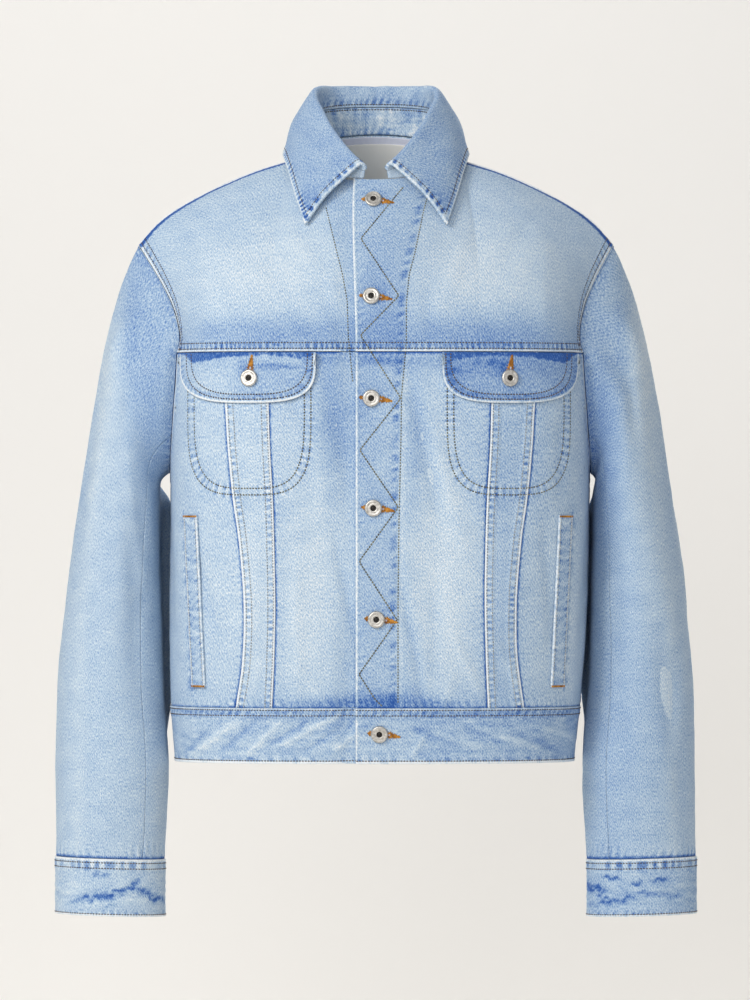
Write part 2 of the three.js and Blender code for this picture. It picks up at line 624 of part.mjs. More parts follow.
function cuffPoint(side, turn, down, out) {
  const angle = turn * degrees;
  const { outX, inX, outZ, inZ, midY, depth } = cuffRing;
  const x = (outX + inX) / 2 + (Math.cos(angle) * (outX - inX + 2 * out)) / 2;
  const z = (outZ + inZ) / 2 + (Math.cos(angle) * (outZ - inZ)) / 2 - seamGap - down;
  return new THREE.Vector3(side * x, midY - Math.sin(angle) * (depth + out), z);
}
function onCuff(side, turn, down, out) {
  const found = onSurface((u, v) => cuffPoint(side, u, v, out), turn, down, 1, 1);
  return { p: found.p, n: found.n.multiplyScalar(side) };
}
function addCuff({ side, name }) {
  const rows = gridRows(30, 2, (a, b) => {
    const turn = mix(cuffLapAngle - cuffLap, cuffLapAngle + 360, a);
    const tuck = 1 - smooth((turn - cuffLapAngle + 4) / 40);
    return onCuff(side, turn, (1 - b) * cuffHeight, cuffProud - (doubled + 0.5) * tuck);
  });
  addPiece(`cuff_${name}`, wallSolid(rows, doubled), midWash);
}

// Pockets: columns of cloth from a rounded lower edge up to a straight top, laid on the front. Each chest
// pocket's bag is sewn inside the panels, and its flap hangs outside, from the yoke seam
function pocketRows(side, shape, columns, rowCount, lift) {
  return gridRows(columns, rowCount, (a, b) => {
    const across = Math.sin((a - 0.5) * Math.PI * 0.998);
    const x = pocketCentreX + side * (shape.middle + shape.halfWidth * across * side);
    const round = 1 - (1 - Math.abs(across) ** shape.power) ** (1 / shape.power);
    const z = mix(shape.bottom + shape.round * round, shape.top, b);
    return lifted(onBody(frontAngle(x, z), z), lift);
  });
}
const pocketLift = 0.9; // clear of the panels' flats
function addPockets({ side, name }) {
  const bag = pocketRows(side, chestPocket, 12, 5, -pocketLift - denim);
  addPiece(`chest_pocket_${name}`, wallSolid(bag, pocketCloth), lightWash);
  const flap = pocketRows(side, pocketFlap, 12, 3, pocketLift + doubled);
  addPiece(`pocket_flap_${name}`, wallSolid(flap, doubled), midWash);
  const welt = gridRows(2, 6, (a, b) => {
    const z = mix(weltPocket.bottomZ, weltPocket.topZ, b);
    const x = mix(weltPocket.bottomX, weltPocket.topX, b) + (a - 0.5) * weltPocket.width * side;
    return lifted(onBody(frontAngle(weltCentreX + side * x, z), z), pocketLift + denim);
  });
  addPiece(`welt_${name}`, wallSolid(welt, denim), lightWash);
}

// A neck tape and a plain label inside the back neck. top and bottom are how far down the back yoke
const backYokeRise = 232; // along the back yoke from its lower seam to the neck
const tapeCloth = 0.8;
const neckTape = { halfWidth: 44, bottom: 13, top: 1.5, lift: 1.3 };
const neckLabel = { halfWidth: 31, bottom: 62, top: 11, lift: 2.5 };
function addNeckPieces() {
  const inside = (x, down, lift) => {
    const neckAngle = Math.asin(x / neck.halfWidth);
    const at = neckAngle / ((180 - neck.shoulderAngle) * degrees);
    const found = onYoke(true, at, 1 - down / backYokeRise);
    return lifted(found, -denim - lift);
  };
  const strip = (piece, columns, rowCount) =>
    gridRows(columns, rowCount, (a, b) =>
      inside(mix(piece.halfWidth, -piece.halfWidth, a), mix(piece.bottom, piece.top, b), piece.lift),
    );
  addPiece("neck_tape", wallSolid(strip(neckTape, 12, 1), tapeCloth), creamTape);
  addPiece("neck_label", wallSolid(strip(neckLabel, 8, 4), tapeCloth), creamTape);
}

// A ring-topped metal button, standing off the cloth along its normal
const buttonProfile = [
  [0, 0],
  [buttonRadius, 0.8],
  [buttonRadius, 2.3],
  [6.9, 3.3],
  [2.9, 2.7],
  [0, 1.5],
];
function addButton(name, { p, n }, lift) {
  const points = buttonProfile.map(([r, h]) => new THREE.Vector2(r, h));
  const mesh = addPiece(name, new THREE.LatheGeometry(points, 12), brushedNickel);
  mesh.position.copy(p).addScaledVector(n, lift);
  mesh.quaternion.setFromUnitVectors(new THREE.Vector3(0, 1, 0), n);
}
function onFront(x, z) {
  if (z < yokeSeamZ) return onBody(frontAngle(x, z), z);
  let [at, share] = [0, 0.5];
  for (let pass = 0; pass < 30; pass += 1) {
    const p = yokePoint(false, at, share);
    at += ((x - p.x) / neck.halfWidth) * 0.5;
    share = clamp01(share + ((z - p.z) / 180) * 0.7);
  }
  return onYoke(false, at, share);
}
function addButtons() {
  frontButtons.forEach(({ x, z }, i) => {
    addButton(`button_front_${i + 1}`, onFront(x, z), buttonShank + (z < waistSeamZ ? bandProud : 0));
  });
  for (const { side, name } of sideNames) {
    const x = pocketCentreX + side * pocketFlap.middle;
    addButton(`button_flap_${name}`, onFront(x, flapButtonZ), pocketLift + doubled + buttonShank);
    addButton(`button_cuff_${name}`, onCuff(side, cuffLapAngle - 14, cuffButtonDown, cuffProud), buttonShank);
  }
}

sideNames.forEach(addFrontYoke);
addBackYoke();
sideNames.forEach(addFrontPanels);
addBackPanels();
addWaistband();
addCollar();
sideNames.forEach(addSleeve);
sideNames.forEach(addCuff);
sideNames.forEach(addPockets);
addNeckPieces();
addButtons();

export default jacket;
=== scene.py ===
import math

import bpy
import numpy as np
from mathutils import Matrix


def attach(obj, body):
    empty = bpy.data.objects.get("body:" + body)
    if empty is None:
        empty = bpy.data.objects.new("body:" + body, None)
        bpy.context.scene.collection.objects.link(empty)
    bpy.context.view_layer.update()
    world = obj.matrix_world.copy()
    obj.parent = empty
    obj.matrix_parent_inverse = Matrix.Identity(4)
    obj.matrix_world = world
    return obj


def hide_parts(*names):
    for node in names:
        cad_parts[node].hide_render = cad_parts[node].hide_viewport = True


# A light-wash denim jacket. Lengths are in millimetres until a mesh is made, and the front faces -Y
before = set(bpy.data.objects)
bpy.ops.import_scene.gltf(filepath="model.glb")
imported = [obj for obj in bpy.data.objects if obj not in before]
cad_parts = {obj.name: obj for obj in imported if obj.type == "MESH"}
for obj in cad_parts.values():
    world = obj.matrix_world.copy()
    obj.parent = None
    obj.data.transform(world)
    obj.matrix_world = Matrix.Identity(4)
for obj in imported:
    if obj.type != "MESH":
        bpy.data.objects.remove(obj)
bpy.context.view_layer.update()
mm = 0.001

# the jacket's sizes, as in the part's source


def table(columns, rows):
    return {"columns": columns.split(), "rows": np.array(rows, float)}


bodySections = table("z centreX halfWidth front back square", [
    (-640, -1.5, 197, 120, 114, 2.7), (-600, -1.5, 199, 124, 117, 2.75), (-545, -0.5, 204, 130, 122, 2.85),
    (-460, 2, 208, 136, 127, 2.95), (-340, 4, 209, 139, 130, 3.1), (-250, 4, 208, 139, 130, 3.2),
    (-194, 4, 206.5, 136, 128, 3.2), (-140, 4, 204, 130, 124, 3.2)])
bodyFolds = [  # angle, lean, low, high, width, depth
    (-14, -3, -545, -205, 5.5, -2.4), (15, 3, -545, -215, 6, -2.2), (-31, 1, -520, -300, 5, 1.8),
    (33, 2, -530, -330, 5, 1.6), (72, 6, -540, -300, 8, -3), (-74, -5, -530, -310, 8, -3),
    (118, -6, -545, -230, 8, 4), (-120, 7, -545, -240, 9, 4), (146, 5, -540, -260, 8, -3.5),
    (-150, -4, -540, -250, 8, -3.5)]
frontSeams = table("z inner outer", [
    (-560, 107, 145), (-500, 104, 136), (-440, 102.5, 134), (-380, 103.5, 139), (-340, 105, 145),
    (-290, 108, 150), (-240, 109.5, 153), (-180, 111, 156)])
backSeams = table("z angle", [(-560, 24), (-370, 29), (-180, 37)])
shoulderSeam = table("at x y z", [
    (0, 77.9, -6.9, 1.3), (0.28, 123, -7, -13), (0.54, 165, -7, -31.3), (0.78, 202, -6, -51.6),
    (0.9, 222, -5, -67.8), (1, 237, -4, -85.5)])
frontLean = table("at riseX riseY riseZ topX topY topZ", [
    (0, 0, 0, 150, 0, 85, 130), (0.5, 0, 0, 150, -28, 92, 118), (0.8, 0, 0, 155, -58, 105, 90),
    (1, 0, 0, 160, -62, 125, 70), (1.25, 0, -3, 158, -34, 145, 58), (1.5, 0, -6, 150, -6, 148, 52),
    (1.8, -16, -8, 120, 14, 110, 58), (2, -42, -6, 95, 40, 76, 68)])
backLean = table("at riseX riseY riseZ topX topY topZ", [
    (0, 0, 0, 170, 0, -80, 150), (0.5, 0, 0, 172, -36, -86, 125), (0.8, 0, 1, 176, -72, -96, 70),
    (1, 0, 2, 180, -76, -118, 22), (1.25, 0, 4, 176, -40, -146, -14), (1.5, 0, 6, 168, -8, -148, -30),
    (1.8, -6, 8, 125, -6, -105, -10), (2, -16, 8, 95, 14, -60, 45)])
collarStations = table("angle ridgeX ridgeY ridgeZ edgeX edgeY edgeZ bulge", [
    (0, 0, 68, 73.5, 0, 89.7, 8.5, 5), (30, 35, 62, 73.5, 56, 75, 5.5, 5), (58, 54, 41, 72, 85.5, 42, 6, 4.5),
    (84, 58, 13, 62, 90.5, 13, 5.5, 3.5), (108, 51, -14, 46, 90, -11.5, 1, 3), (132, 41, -38, 27, 85, -39.5, -16, 4),
    (152, 27, -60, 7, 77.5, -67.5, -43, 4), (171, 11.5, -78, -10, 69.2, -88.8, -68.4, 3)])
sleeveRings = table("at outX outZ inX inZ midY depth", [
    (0, 237, -85.5, 204, -312, -1, 60), (0.06, 245.5, -103, 212, -319, 0, 66),
    (0.13, 257, -133, 215, -327, 3, 70), (0.22, 268.5, -178, 216, -338, 5, 73),
    (0.32, 279, -236, 216, -355, 7, 74), (0.42, 290.5, -304, 216, -383, 9, 72),
    (0.52, 302, -374, 215, -420, 8, 69), (0.63, 310.5, -444, 214, -468, 5, 66),
    (0.75, 317, -520, 212, -530, 0, 62), (0.88, 318.5, -608, 207, -610, -6, 55),
    (1, 319, -694.8, 211, -697.8, -10, 43)])
sleeveFolds = [
    (38, -6, 0.02, 0.34, 11, 3.5), (66, 4, 0.04, 0.4, 13, -5), (12, 8, 0.08, 0.6, 10, 2.5),
    (118, 10, 0.3, 0.9, 14, -3.5), (300, -10, 0.06, 0.45, 14, -4.5), (262, 8, 0.34, 0.8, 14, 4),
    (232, -8, 0.4, 0.95, 12, -3.5)]
size = {
    "denim": 1.8, "doubled": 2.6, "gap": 0.3, "yokeZ": -194, "waistZ": -545, "hemZ": -600, "underarmZ": -312,
    "armFront": 64, "armBack": 58, "leftEdge": -20, "rightEdge": 22, "seamCentre": 4, "pocketCentre": 3,
    "neckWidth": 78, "neckDepth": 70, "neckY": -2, "neckZ": 3, "neckTilt": 25, "shoulderAngle": 86,
    "neckSpread": 104, "upperTurn": 80, "collarEnd": 171, "standShare": 0.6, "foldHalf": 3.4,
    "splitFront": 128, "splitBack": 262, "bandProud": 0.4, "pocketLift": 0.9}


def smooth(value):
    t = np.clip(value, 0, 1)
    return t * t * (3 - 2 * t)


def mix(a, b, share):
    return a + (b - a) * share


def unit(v):
    return v / np.maximum(np.linalg.norm(v, axis=-1, keepdims=True), 1e-9)


def stack(*parts):
    return np.stack(np.broadcast_arrays(*parts), -1)


# A table at some values of its first column, on a smooth curve through its rows, as one array per column
def lookUp(source, at):
    rows = source["rows"]
    keys = rows[:, 0]
    at = np.asarray(at, float)
    before = np.maximum(np.arange(len(keys)) - 1, 0)
    after = np.minimum(np.arange(len(keys)) + 1, len(keys) - 1)
    slopes = (rows[after] - rows[before]) / (keys[after] - keys[before])[:, None]
    i = np.clip(np.searchsorted(keys, at) - 1, 0, len(keys) - 2)
    width = keys[i + 1] - keys[i]
    raw = (at - keys[i]) / width
    t = np.clip(raw, 0, 1)[..., None]
    w = width[..., None]
    t2, t3 = t * t, t * t * t
    found = (2 * t3 - 3 * t2 + 1) * rows[i] + (t3 - 2 * t2 + t) * w * slopes[i]
    found = found + (3 * t2 - 2 * t3) * rows[i + 1] + (t3 - t2) * w * slopes[i + 1]
    past = (raw - np.clip(raw, 0, 1))[..., None] * w
    found = found + past * np.where(raw[..., None] < 0, slopes[i], slopes[i + 1])
    return {name: found[..., k] for k, name in enumerate(source["columns"])}


# How far soft folds move the cloth out: each is a bell across, and fades in and out along its length
def foldDepth(folds, angle, along):
    total = np.zeros(np.broadcast(angle, along).shape)
    for middle, lean, low, high, width, depth in folds:
        share = np.clip((along - low) / (high - low), 0, 1)
        away = angle - middle - lean * (share - 0.5) * 2
        away = away - 360 * np.round(away / 360)
        total = total + depth * np.sin(np.pi * share) ** 2 * np.exp(-((away / width) ** 2))
    return total


# The body at an angle from the centre front and a height: a rounded ring, |x/w|^n + |y/d|^n = 1
def bodyPoint(angle, z):
    row = lookUp(bodySections, z)
    s, c = np.sin(angle), np.cos(angle)
    reach = (np.abs(s) ** row["square"] + np.abs(c) ** row["square"]) ** (-1 / row["square"])
    out = foldDepth(bodyFolds, np.degrees(angle), np.asarray(z, float))
    depth = np.where(c > 0, row["front"], row["back"]) + out
    return stack(row["centreX"] + (row["halfWidth"] + out) * s * reach, -depth * c * reach, z + 0 * s)


def frontAngle(x, z):
    row = lookUp(bodySections, z)
    across = (x - row["centreX"]) / row["halfWidth"]
    forward = (1 - np.minimum(np.abs(across), 0.9999) ** row["square"]) ** (1 / row["square"])
    return np.arctan2(across, forward)


def sideAngle(side, y, z):
    row = lookUp(bodySections, z)
    forward = -y / np.where(np.asarray(y) < 0, row["front"], row["back"])
    across = (1 - np.minimum(np.abs(forward), 1) ** row["square"]) ** (1 / row["square"])
    return side * np.arctan2(across, forward)


def neckPoint(angle):
    return stack(
        size["neckWidth"] * np.sin(angle),
        size["neckY"] - size["neckDepth"] * np.cos(angle),
        size["neckZ"] - size["neckTilt"] * np.cos(angle))


# A yoke: a Hermite column from its lower seam to the neck (|at| to 1) or the shoulder seam (|at| to 2)
def yokePoint(isBack, at, share):
    at, share = np.broadcast_arrays(np.asarray(at, float), np.asarray(share, float))
    side = np.where(at < 0, -1, 1)
    q = np.abs(at)
    turn = 180 - size["shoulderAngle"] if isBack else size["shoulderAngle"]
    neckAngle = np.radians(np.minimum(q, 1) * turn)
    angle = frontAngle(size["neckSpread"] * np.minimum(q, 1) * side, size["yokeZ"])
    if isBack:
        angle = side * np.pi - angle
    arm = sideAngle(side, size["armBack"] if isBack else -size["armFront"], size["yokeZ"])
    angle = mix(angle, arm, np.maximum(q - 1, 0))
    bottom = bodyPoint(angle, size["yokeZ"])
    top = neckPoint(side * (np.pi - neckAngle if isBack else neckAngle))
    seam = lookUp(shoulderSeam, q - 1)
    top = np.where((q > 1)[..., None], stack(side * seam["x"], seam["y"], seam["z"]), top)
    lean = lookUp(backLean if isBack else frontLean, np.minimum(q, 2))
    rise = stack(side * lean["riseX"], lean["riseY"], lean["riseZ"])
    arrive = stack(side * lean["topX"], lean["topY"], lean["topZ"])
    t = share[..., None]
    found = bottom * (1 - t) ** 2 * (1 + 2 * t) + rise * t * (1 - t) ** 2
    return found + top * t * t * (3 - 2 * t) + arrive * t * t * (t - 1)


def armholeTopZ(y):
    across = np.where(y < 0, -y / size["armFront"], y / size["armBack"])
    drop = 1 - np.sqrt(np.maximum(0, 1 - np.minimum(1, across) ** 2))
    return size["underarmZ"] + (size["yokeZ"] - size["underarmZ"]) * drop


# The armhole: turn is in degrees, 0 at the shoulder point, 90 in front and 180 at the underarm
def armholeEdge(side, turn):
    turn = np.mod(turn, 360)
    around = np.where(turn > 180, 360 - turn, turn)
    upper = np.clip(1 - around / size["upperTurn"], 0, 1)
    above = np.where((turn > 180)[..., None], yokePoint(True, 2.0 * side, upper), yokePoint(False, 2.0 * side, upper))
    low = np.radians(np.clip((around - size["upperTurn"]) / (180 - size["upperTurn"]), 0, 1) * 90)
    y = np.where(turn > 180, size["armBack"], -size["armFront"]) * np.cos(low)
    z = armholeTopZ(y)
    below = bodyPoint(sideAngle(side, y, z), z)
    return np.where((around < size["upperTurn"])[..., None], above, below)


# A sleeve: an oval ring at each place along it, which takes the armhole's shape at its top
def sleevePoint(side, at, turn):
    at, turn = np.broadcast_arrays(np.asarray(at, float), np.asarray(turn, float))

    def plain(place, fold):
        row = lookUp(sleeveRings, place)
        c, s = np.cos(np.radians(turn)), np.sin(np.radians(turn))
        wide = c * (1 + fold / 60)
        x = (row["outX"] + row["inX"]) / 2 + wide * (row["outX"] - row["inX"]) / 2
        z = (row["outZ"] + row["inZ"]) / 2 + wide * (row["outZ"] - row["inZ"]) / 2
        return stack(side * x, row["midY"] - s * (row["depth"] + fold), z)

    fade = 1 - smooth(at / 0.24)
    pull = armholeEdge(side, turn) - plain(at * 0, foldDepth(sleeveFolds, turn, at * 0))
    return plain(at, foldDepth(sleeveFolds, turn, at)) + pull * fade[..., None]


def cuffPoint(side, turn, down, out):
    c, s = np.cos(np.radians(turn)), np.sin(np.radians(turn))
    x = 265.3 + c * (54.5 + out)
    return stack(side * x, -10 - s * (42 + out), -696.8 + 1.5 * c - down)


# The collar: a straight stand, and a fall on a curve through six points, over the fold and down to its edge
def collarStation(around):
    around = np.asarray(around, float)
    side = np.where(around < 0, -1, 1)
    row = lookUp(collarStations, np.abs(around))
    foot = neckPoint(side * np.pi - np.radians(around)) + np.array([0, 0, 0.5])
    edge = stack(side * row["edgeX"], row["edgeY"], row["edgeZ"])
    return foot, stack(side * row["ridgeX"], row["ridgeY"], row["ridgeZ"]), edge, row["bulge"][..., None]


def fallPoint(around, share):
    foot, ridge, edge, bulge = collarStation(around)
    level = np.array([1, 1, 0])
    drop = edge - ridge
    outward = unit(drop * level)
    up = unit(ridge - foot)
    half = size["foldHalf"]
    start = mix(foot, ridge, size["standShare"]) + up * 0.6
    near = mix(foot, ridge, 0.86)
    crown = ridge + outward * half * level + np.array([0, 0, 1.2])
    shoulder = ridge + outward * half * 2 + drop * 0.1
    middle = ridge + outward * (half + bulge) + drop * 0.55 + bulge * np.array([0, 0, 0.6])
    knots = np.stack([2 * start - near, start, near, crown, shoulder, middle, edge, 2 * edge - middle], 0)
    place = np.clip(share, 0, 1) * 5
    i = np.minimum(place.astype(int), 4)
    t = (place - i)[..., None]
    grab = [np.take_along_axis(knots, (i + k)[None, ..., None], 0)[0] for k in range(4)]
    slopeIn, slopeOut = (grab[2] - grab[0]) / 2, (grab[3] - grab[1]) / 2
    found = (2 * t**3 - 3 * t**2 + 1) * grab[1] + (t**3 - 2 * t**2 + t) * slopeIn
    return found + (3 * t**2 - 2 * t**3) * grab[2] + (t**3 - t**2) * slopeOut


# surface work: seams, puckers, creases, the wash and painted shade

rng = np.random.default_rng(7)
waveTurns = rng.uniform(0, np.pi, 64)
wavePhases = rng.uniform(0, 2 * np.pi, 64)


# Uneven cloth: a sum of waves in many directions, about -1 to 1, of this length in mm
def crumple(p, length, seed, stretch=(1, 1, 1)):
    total = 0
    for k in range(7):
        j = (seed * 7 + k) % 64
        a, b = waveTurns[j], waveTurns[(j + 31) % 64]
        way = np.array([np.cos(a) * np.cos(b), np.sin(a) * np.cos(b), np.sin(b)]) * np.array(stretch)
        total = total + np.sin((p @ way) * 2 * np.pi / (length * (0.7 + 0.1 * k)) + wavePhases[j])
    return total / 2.6


# Distance from a line of points, and how far along it the nearest place is
def nearest(points, line):
    flat = points.reshape(-1, 3)
    steps = np.diff(line, axis=0)
    lengths = np.maximum(np.linalg.norm(steps, axis=1), 1e-6)
    starts = np.concatenate([[0], np.cumsum(lengths)])[:-1]
    near = ((flat**2).sum(1)[:, None] - 2 * flat @ line.T + (line**2).sum(1)).argmin(1)
    best, along = np.full(len(flat), 1e9), np.zeros(len(flat))
    for shift in (-1, 0):
        i = np.clip(near + shift, 0, len(steps) - 1)
        t = np.clip(((flat - line[i]) * steps[i]).sum(1) / lengths[i] ** 2, 0, 1)
        away = np.linalg.norm(flat - line[i] - steps[i] * t[:, None], axis=1)
        closer = away < best
        best = np.where(closer, away, best)
        along = np.where(closer, starts[i] + t * lengths[i], along)
    return best.reshape(points.shape[:-1]), along.reshape(points.shape[:-1])


def seamStyle(**changes):
    style = {
        "wide": 9.5,  # the strip that the seam's turned-in cloth fills
        "rise": 0.5,  # how much it stands up
        "pucker": 0.4,  # height of the gathers along it
        "pitch": 7.5,  # from one gather to the next
        "reach": 5.0,  # how far the gathers run out
        "tone": 0.16,  # how much the gathers darken and fade
        # below zero, edge paints a dark line of shadow where a pale worn edge would be: painted shade
        "edge": 0.5,  # how pale the worn edge is
        "edgeWide": 2.0,
        "deep": 0.05,  # how much bluer the strip is
        "skew": 0.4, "seed": 0}
    style.update(changes)
    return style


# Marks along a line, about -1 to 1: a wave whose pace and strength wander, flattened so that they have edges
def seamMarks(along, away, pitch, skew, seed):
    pace = 1.9 * np.sin(along / 19 + seed) + 1.3 * np.sin(along / 8.1 + 2.3 * seed) + 0.7 * np.sin(along / 3.7 + seed)
    wave = np.sin(2 * np.pi * (along + skew * away) / pitch + pace)
    strength = 0.62 + 0.38 * np.sin(along / 27 + 1.7 * seed) * np.sin(along / 11 + seed)
    return np.tanh(2.0 * (wave - 0.15)) * strength


# A seam: a strip raised over its turned-in cloth, gathers across it, a pale rolled edge and bluer hollows
def seamEffect(points, line, style):
    away, along = nearest(points, line)
    wave = seamMarks(along, away, style["pitch"], style["skew"], style["seed"])
    hump = np.exp(-(((away - style["wide"] / 2) / style["reach"]) ** 2))
    strip = smooth((away + 0.6) / 1.6) * (1 - smooth((away - style["wide"]) / 2.4))
    edge = 1 - smooth((away - style["edgeWide"] * 0.6) / (style["edgeWide"] * 0.8))
    roll = np.exp(-(((away - 1.1) / 1.0) ** 2)) * (0.35 if style["edge"] > 0.1 else 0)
    height = style["rise"] * strip + style["pucker"] * wave * hump * (1 - 0.6 * edge) + roll
    tone = style["tone"] * np.where(wave < 0, 1.4, 0.8) * wave
    # with a positive edge, wear is a pale worn edge; with a negative one, it is a dark line of painted shadow
    wear = style["edge"] * (1 + 0.25 * seamMarks(along, 0, 17, 0, style["seed"] + 5))
    return height, wear * edge - style["deep"] * strip + tone * hump * (1 - 0.8 * np.abs(edge))


# The side of a seam that lies under the other: a narrow dark line of painted shadow under the lapped edge, and gathers
# that fade away from it
def underStyle(**changes):
    return seamStyle(**{"wide": 1, "rise": -0.35, "pucker": 0.3, "reach": 6, "tone": 0.1, "edge": -0.55, "edgeWide": 1.7,
                        "deep": 0, **changes})


# Creases: soft lines in the front's x and z, each with its length, its turn from upright, width, depth and tone.
# The tone follows the depth: painted shade darkens the troughs and painted highlight lightens the ridges, with the
# fade of the worn ridges in it too
def creaseEffect(points, creases):
    height, fadeAndShade = np.zeros(points.shape[:-1]), np.zeros(points.shape[:-1])
    for x, z, length, turn, width, depth, tone in creases:
        a = math.radians(turn)
        dx, dz = points[..., 0] - x, points[..., 2] - z
        along = -dx * math.sin(a) + dz * math.cos(a)
        across = dx * math.cos(a) + dz * math.sin(a) + 0.06 * length * np.sin(along / (0.33 * length))
        bell = np.exp(-((across / width) ** 2)) * np.exp(-((2 * along / length) ** 4))
        height = height + depth * bell
        fadeAndShade = fadeAndShade + tone * bell
    return height, fadeAndShade


# Soft oval patches of tone, each x, z, half width, half height, tone: faded and deeper blue patches, and painted shade
# and painted highlight where the tables put them
def fadeAndShadePatches(points, patches):
    fadeAndShade = np.zeros(points.shape[:-1])
    for x, z, width, tall, tone in patches:
        far = ((points[..., 0] - x) / width) ** 2 + ((points[..., 2] - z) / tall) ** 2
        fadeAndShade = fadeAndShade + tone * np.exp(-far)
    return fadeAndShade


def gridNormals(points, turn):
    alongU = np.gradient(points, axis=1)
    alongV = np.gradient(points, axis=0)
    return unit(np.cross(alongU, alongV)) * turn


pieces = {}


def addMesh(name, vertices, faces, material, nodes=(), slot=None, fadeAndShade=None, uv=None, smoothFaces=True):
    mesh = bpy.data.meshes.new(name)
    mesh.from_pydata((np.asarray(vertices) * mm).tolist(), [], faces)
    if smoothFaces:
        mesh.shade_smooth()
    if fadeAndShade is not None:
        mesh.attributes.new("fadeAndShade", "FLOAT", "POINT").data.foreach_set("value", np.asarray(fadeAndShade, np.float32))
    if uv is not None:
        corners = np.empty(len(mesh.loops), np.int32)
        mesh.loops.foreach_get("vertex_index", corners)
        mesh.uv_layers.new(name="cloth").data.foreach_set("uv", (uv[corners] * mm).astype(np.float32).ravel())
    mesh.materials.append(material)
    thing = bpy.data.objects.new(name, mesh)
    bpy.context.scene.collection.objects.link(thing)
    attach(thing, "root")
    if nodes:
        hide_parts(*nodes)
    return thing


# A cloth piece: a fine outer grid with its seams and creases, a coarser inner wall, and closed edges
def addCloth(name, node, base, thickness, material, turn=1, lift=None, seams=(), paint=None, step=3, slot=None,
             soften=1.0, tone=0.62, widthAt=0.5):
    rows, columns = base.shape[:2]
    normal = gridNormals(base, turn)
    if lift is not None:
        base = base + normal * lift(base)[..., None]
    height = 0.14 * soften * crumple(base, 37, len(pieces)) + 0.05 * soften * crumple(base, 14, len(pieces) + 3)
    # the colour value: the cloth's tone and fade, to which the seams, creases and paint functions add painted shade
    # and painted highlight in places
    fadeAndShade = tone + 0.015 * crumple(base, 25, len(pieces) + 5)
    for line, style in seams:
        moreHeight, moreFadeAndShade = seamEffect(base, line, style)
        height, fadeAndShade = height + moreHeight, fadeAndShade + moreFadeAndShade
    if paint is not None:
        moreHeight, moreFadeAndShade = paint(base)
        height, fadeAndShade = height + moreHeight, fadeAndShade + moreFadeAndShade
    outer = base + normal * height[..., None]
    inner = (base - normal * thickness)[::step, ::step]
    innerRows, innerColumns = inner.shape[:2]
    vertices = np.concatenate([outer.reshape(-1, 3), inner.reshape(-1, 3)])
    o = np.arange(rows * columns).reshape(rows, columns)
    i = np.arange(innerRows * innerColumns).reshape(innerRows, innerColumns) + rows * columns
    outerFaces = np.stack([o[:-1, :-1], o[:-1, 1:], o[1:, 1:], o[1:, :-1]], -1).reshape(-1, 4)
    innerFaces = np.stack([i[:-1, :-1], i[1:, :-1], i[1:, 1:], i[:-1, 1:]], -1).reshape(-1, 4)

    def rim(outerLine, innerLine):
        parts = []
        for k in range(len(innerLine) - 1):
            fine = list(outerLine[k * step:(k + 1) * step + 1])
            parts.append([int(v) for v in fine[::-1] + [innerLine[k], innerLine[k + 1]]])
        return parts

    rims = rim(o[0], i[0]) + rim(o[:, -1], i[:, -1]) + rim(o[-1][::-1], i[-1][::-1]) + rim(o[::-1, 0], i[::-1, 0])
    faces = outerFaces.tolist() + innerFaces.tolist() + rims
    if turn < 0:
        faces = [face[::-1] for face in faces]
    across = np.concatenate([np.zeros((rows, 1)), np.cumsum(np.linalg.norm(np.diff(base, axis=1), axis=2), 1)], 1)
    along = np.concatenate([np.zeros((1, columns)), np.cumsum(np.linalg.norm(np.diff(base, axis=0), axis=2), 0)], 0)
    uv = stack((across.mean(0) - across.mean() + 0 * across) * turn, along.mean(1, keepdims=True) + 0 * along)
    uvAll = np.concatenate([uv.reshape(-1, 2), uv[::step, ::step].reshape(-1, 2)])
    fadeAndShadeAll = np.clip(np.concatenate([fadeAndShade.ravel(), fadeAndShade[::step, ::step].ravel() * 0 + 0.7]), 0.02, 1)
    thing = addMesh(name, vertices, faces, material, [node] if node else (), slot, fadeAndShadeAll, uvAll)
    cross = np.cross(np.diff(base, axis=1)[:-1], np.diff(base, axis=0)[:, :-1])
    pieces[name] = {"outer": outer, "normal": unit(gridNormals(outer, turn)), "object": thing}
    return pieces[name]


# A line on a piece at a distance from one of its edges, worked out along each row or column of its grid
def inset(piece, edge, distance, start=0, end=1):
    points, normals = piece["outer"], piece["normal"]
    if edge in ("left", "right"):
        points, normals = points.transpose(1, 0, 2), normals.transpose(1, 0, 2)
    if edge in ("top", "right"):
        points, normals = points[::-1], normals[::-1]
    depth = min(len(points), 60)
    points, normals = points[:depth], normals[:depth]
    gone = np.concatenate([np.zeros((1, points.shape[1])), np.cumsum(np.linalg.norm(np.diff(points, axis=0), axis=2), 0)])
    i = np.clip((gone < distance).sum(0) - 1, 0, depth - 2)
    column = np.arange(points.shape[1])
    t = np.clip((distance - gone[i, column]) / np.maximum(gone[i + 1, column] - gone[i, column], 1e-6), 0, 1)[:, None]
    line = mix(points[i, column], points[i + 1, column], t)
    way = mix(normals[i, column], normals[i + 1, column], t)
    keep = slice(int(start * (len(line) - 1)), int(end * (len(line) - 1)) + 1)
    return line[keep], unit(way[keep])


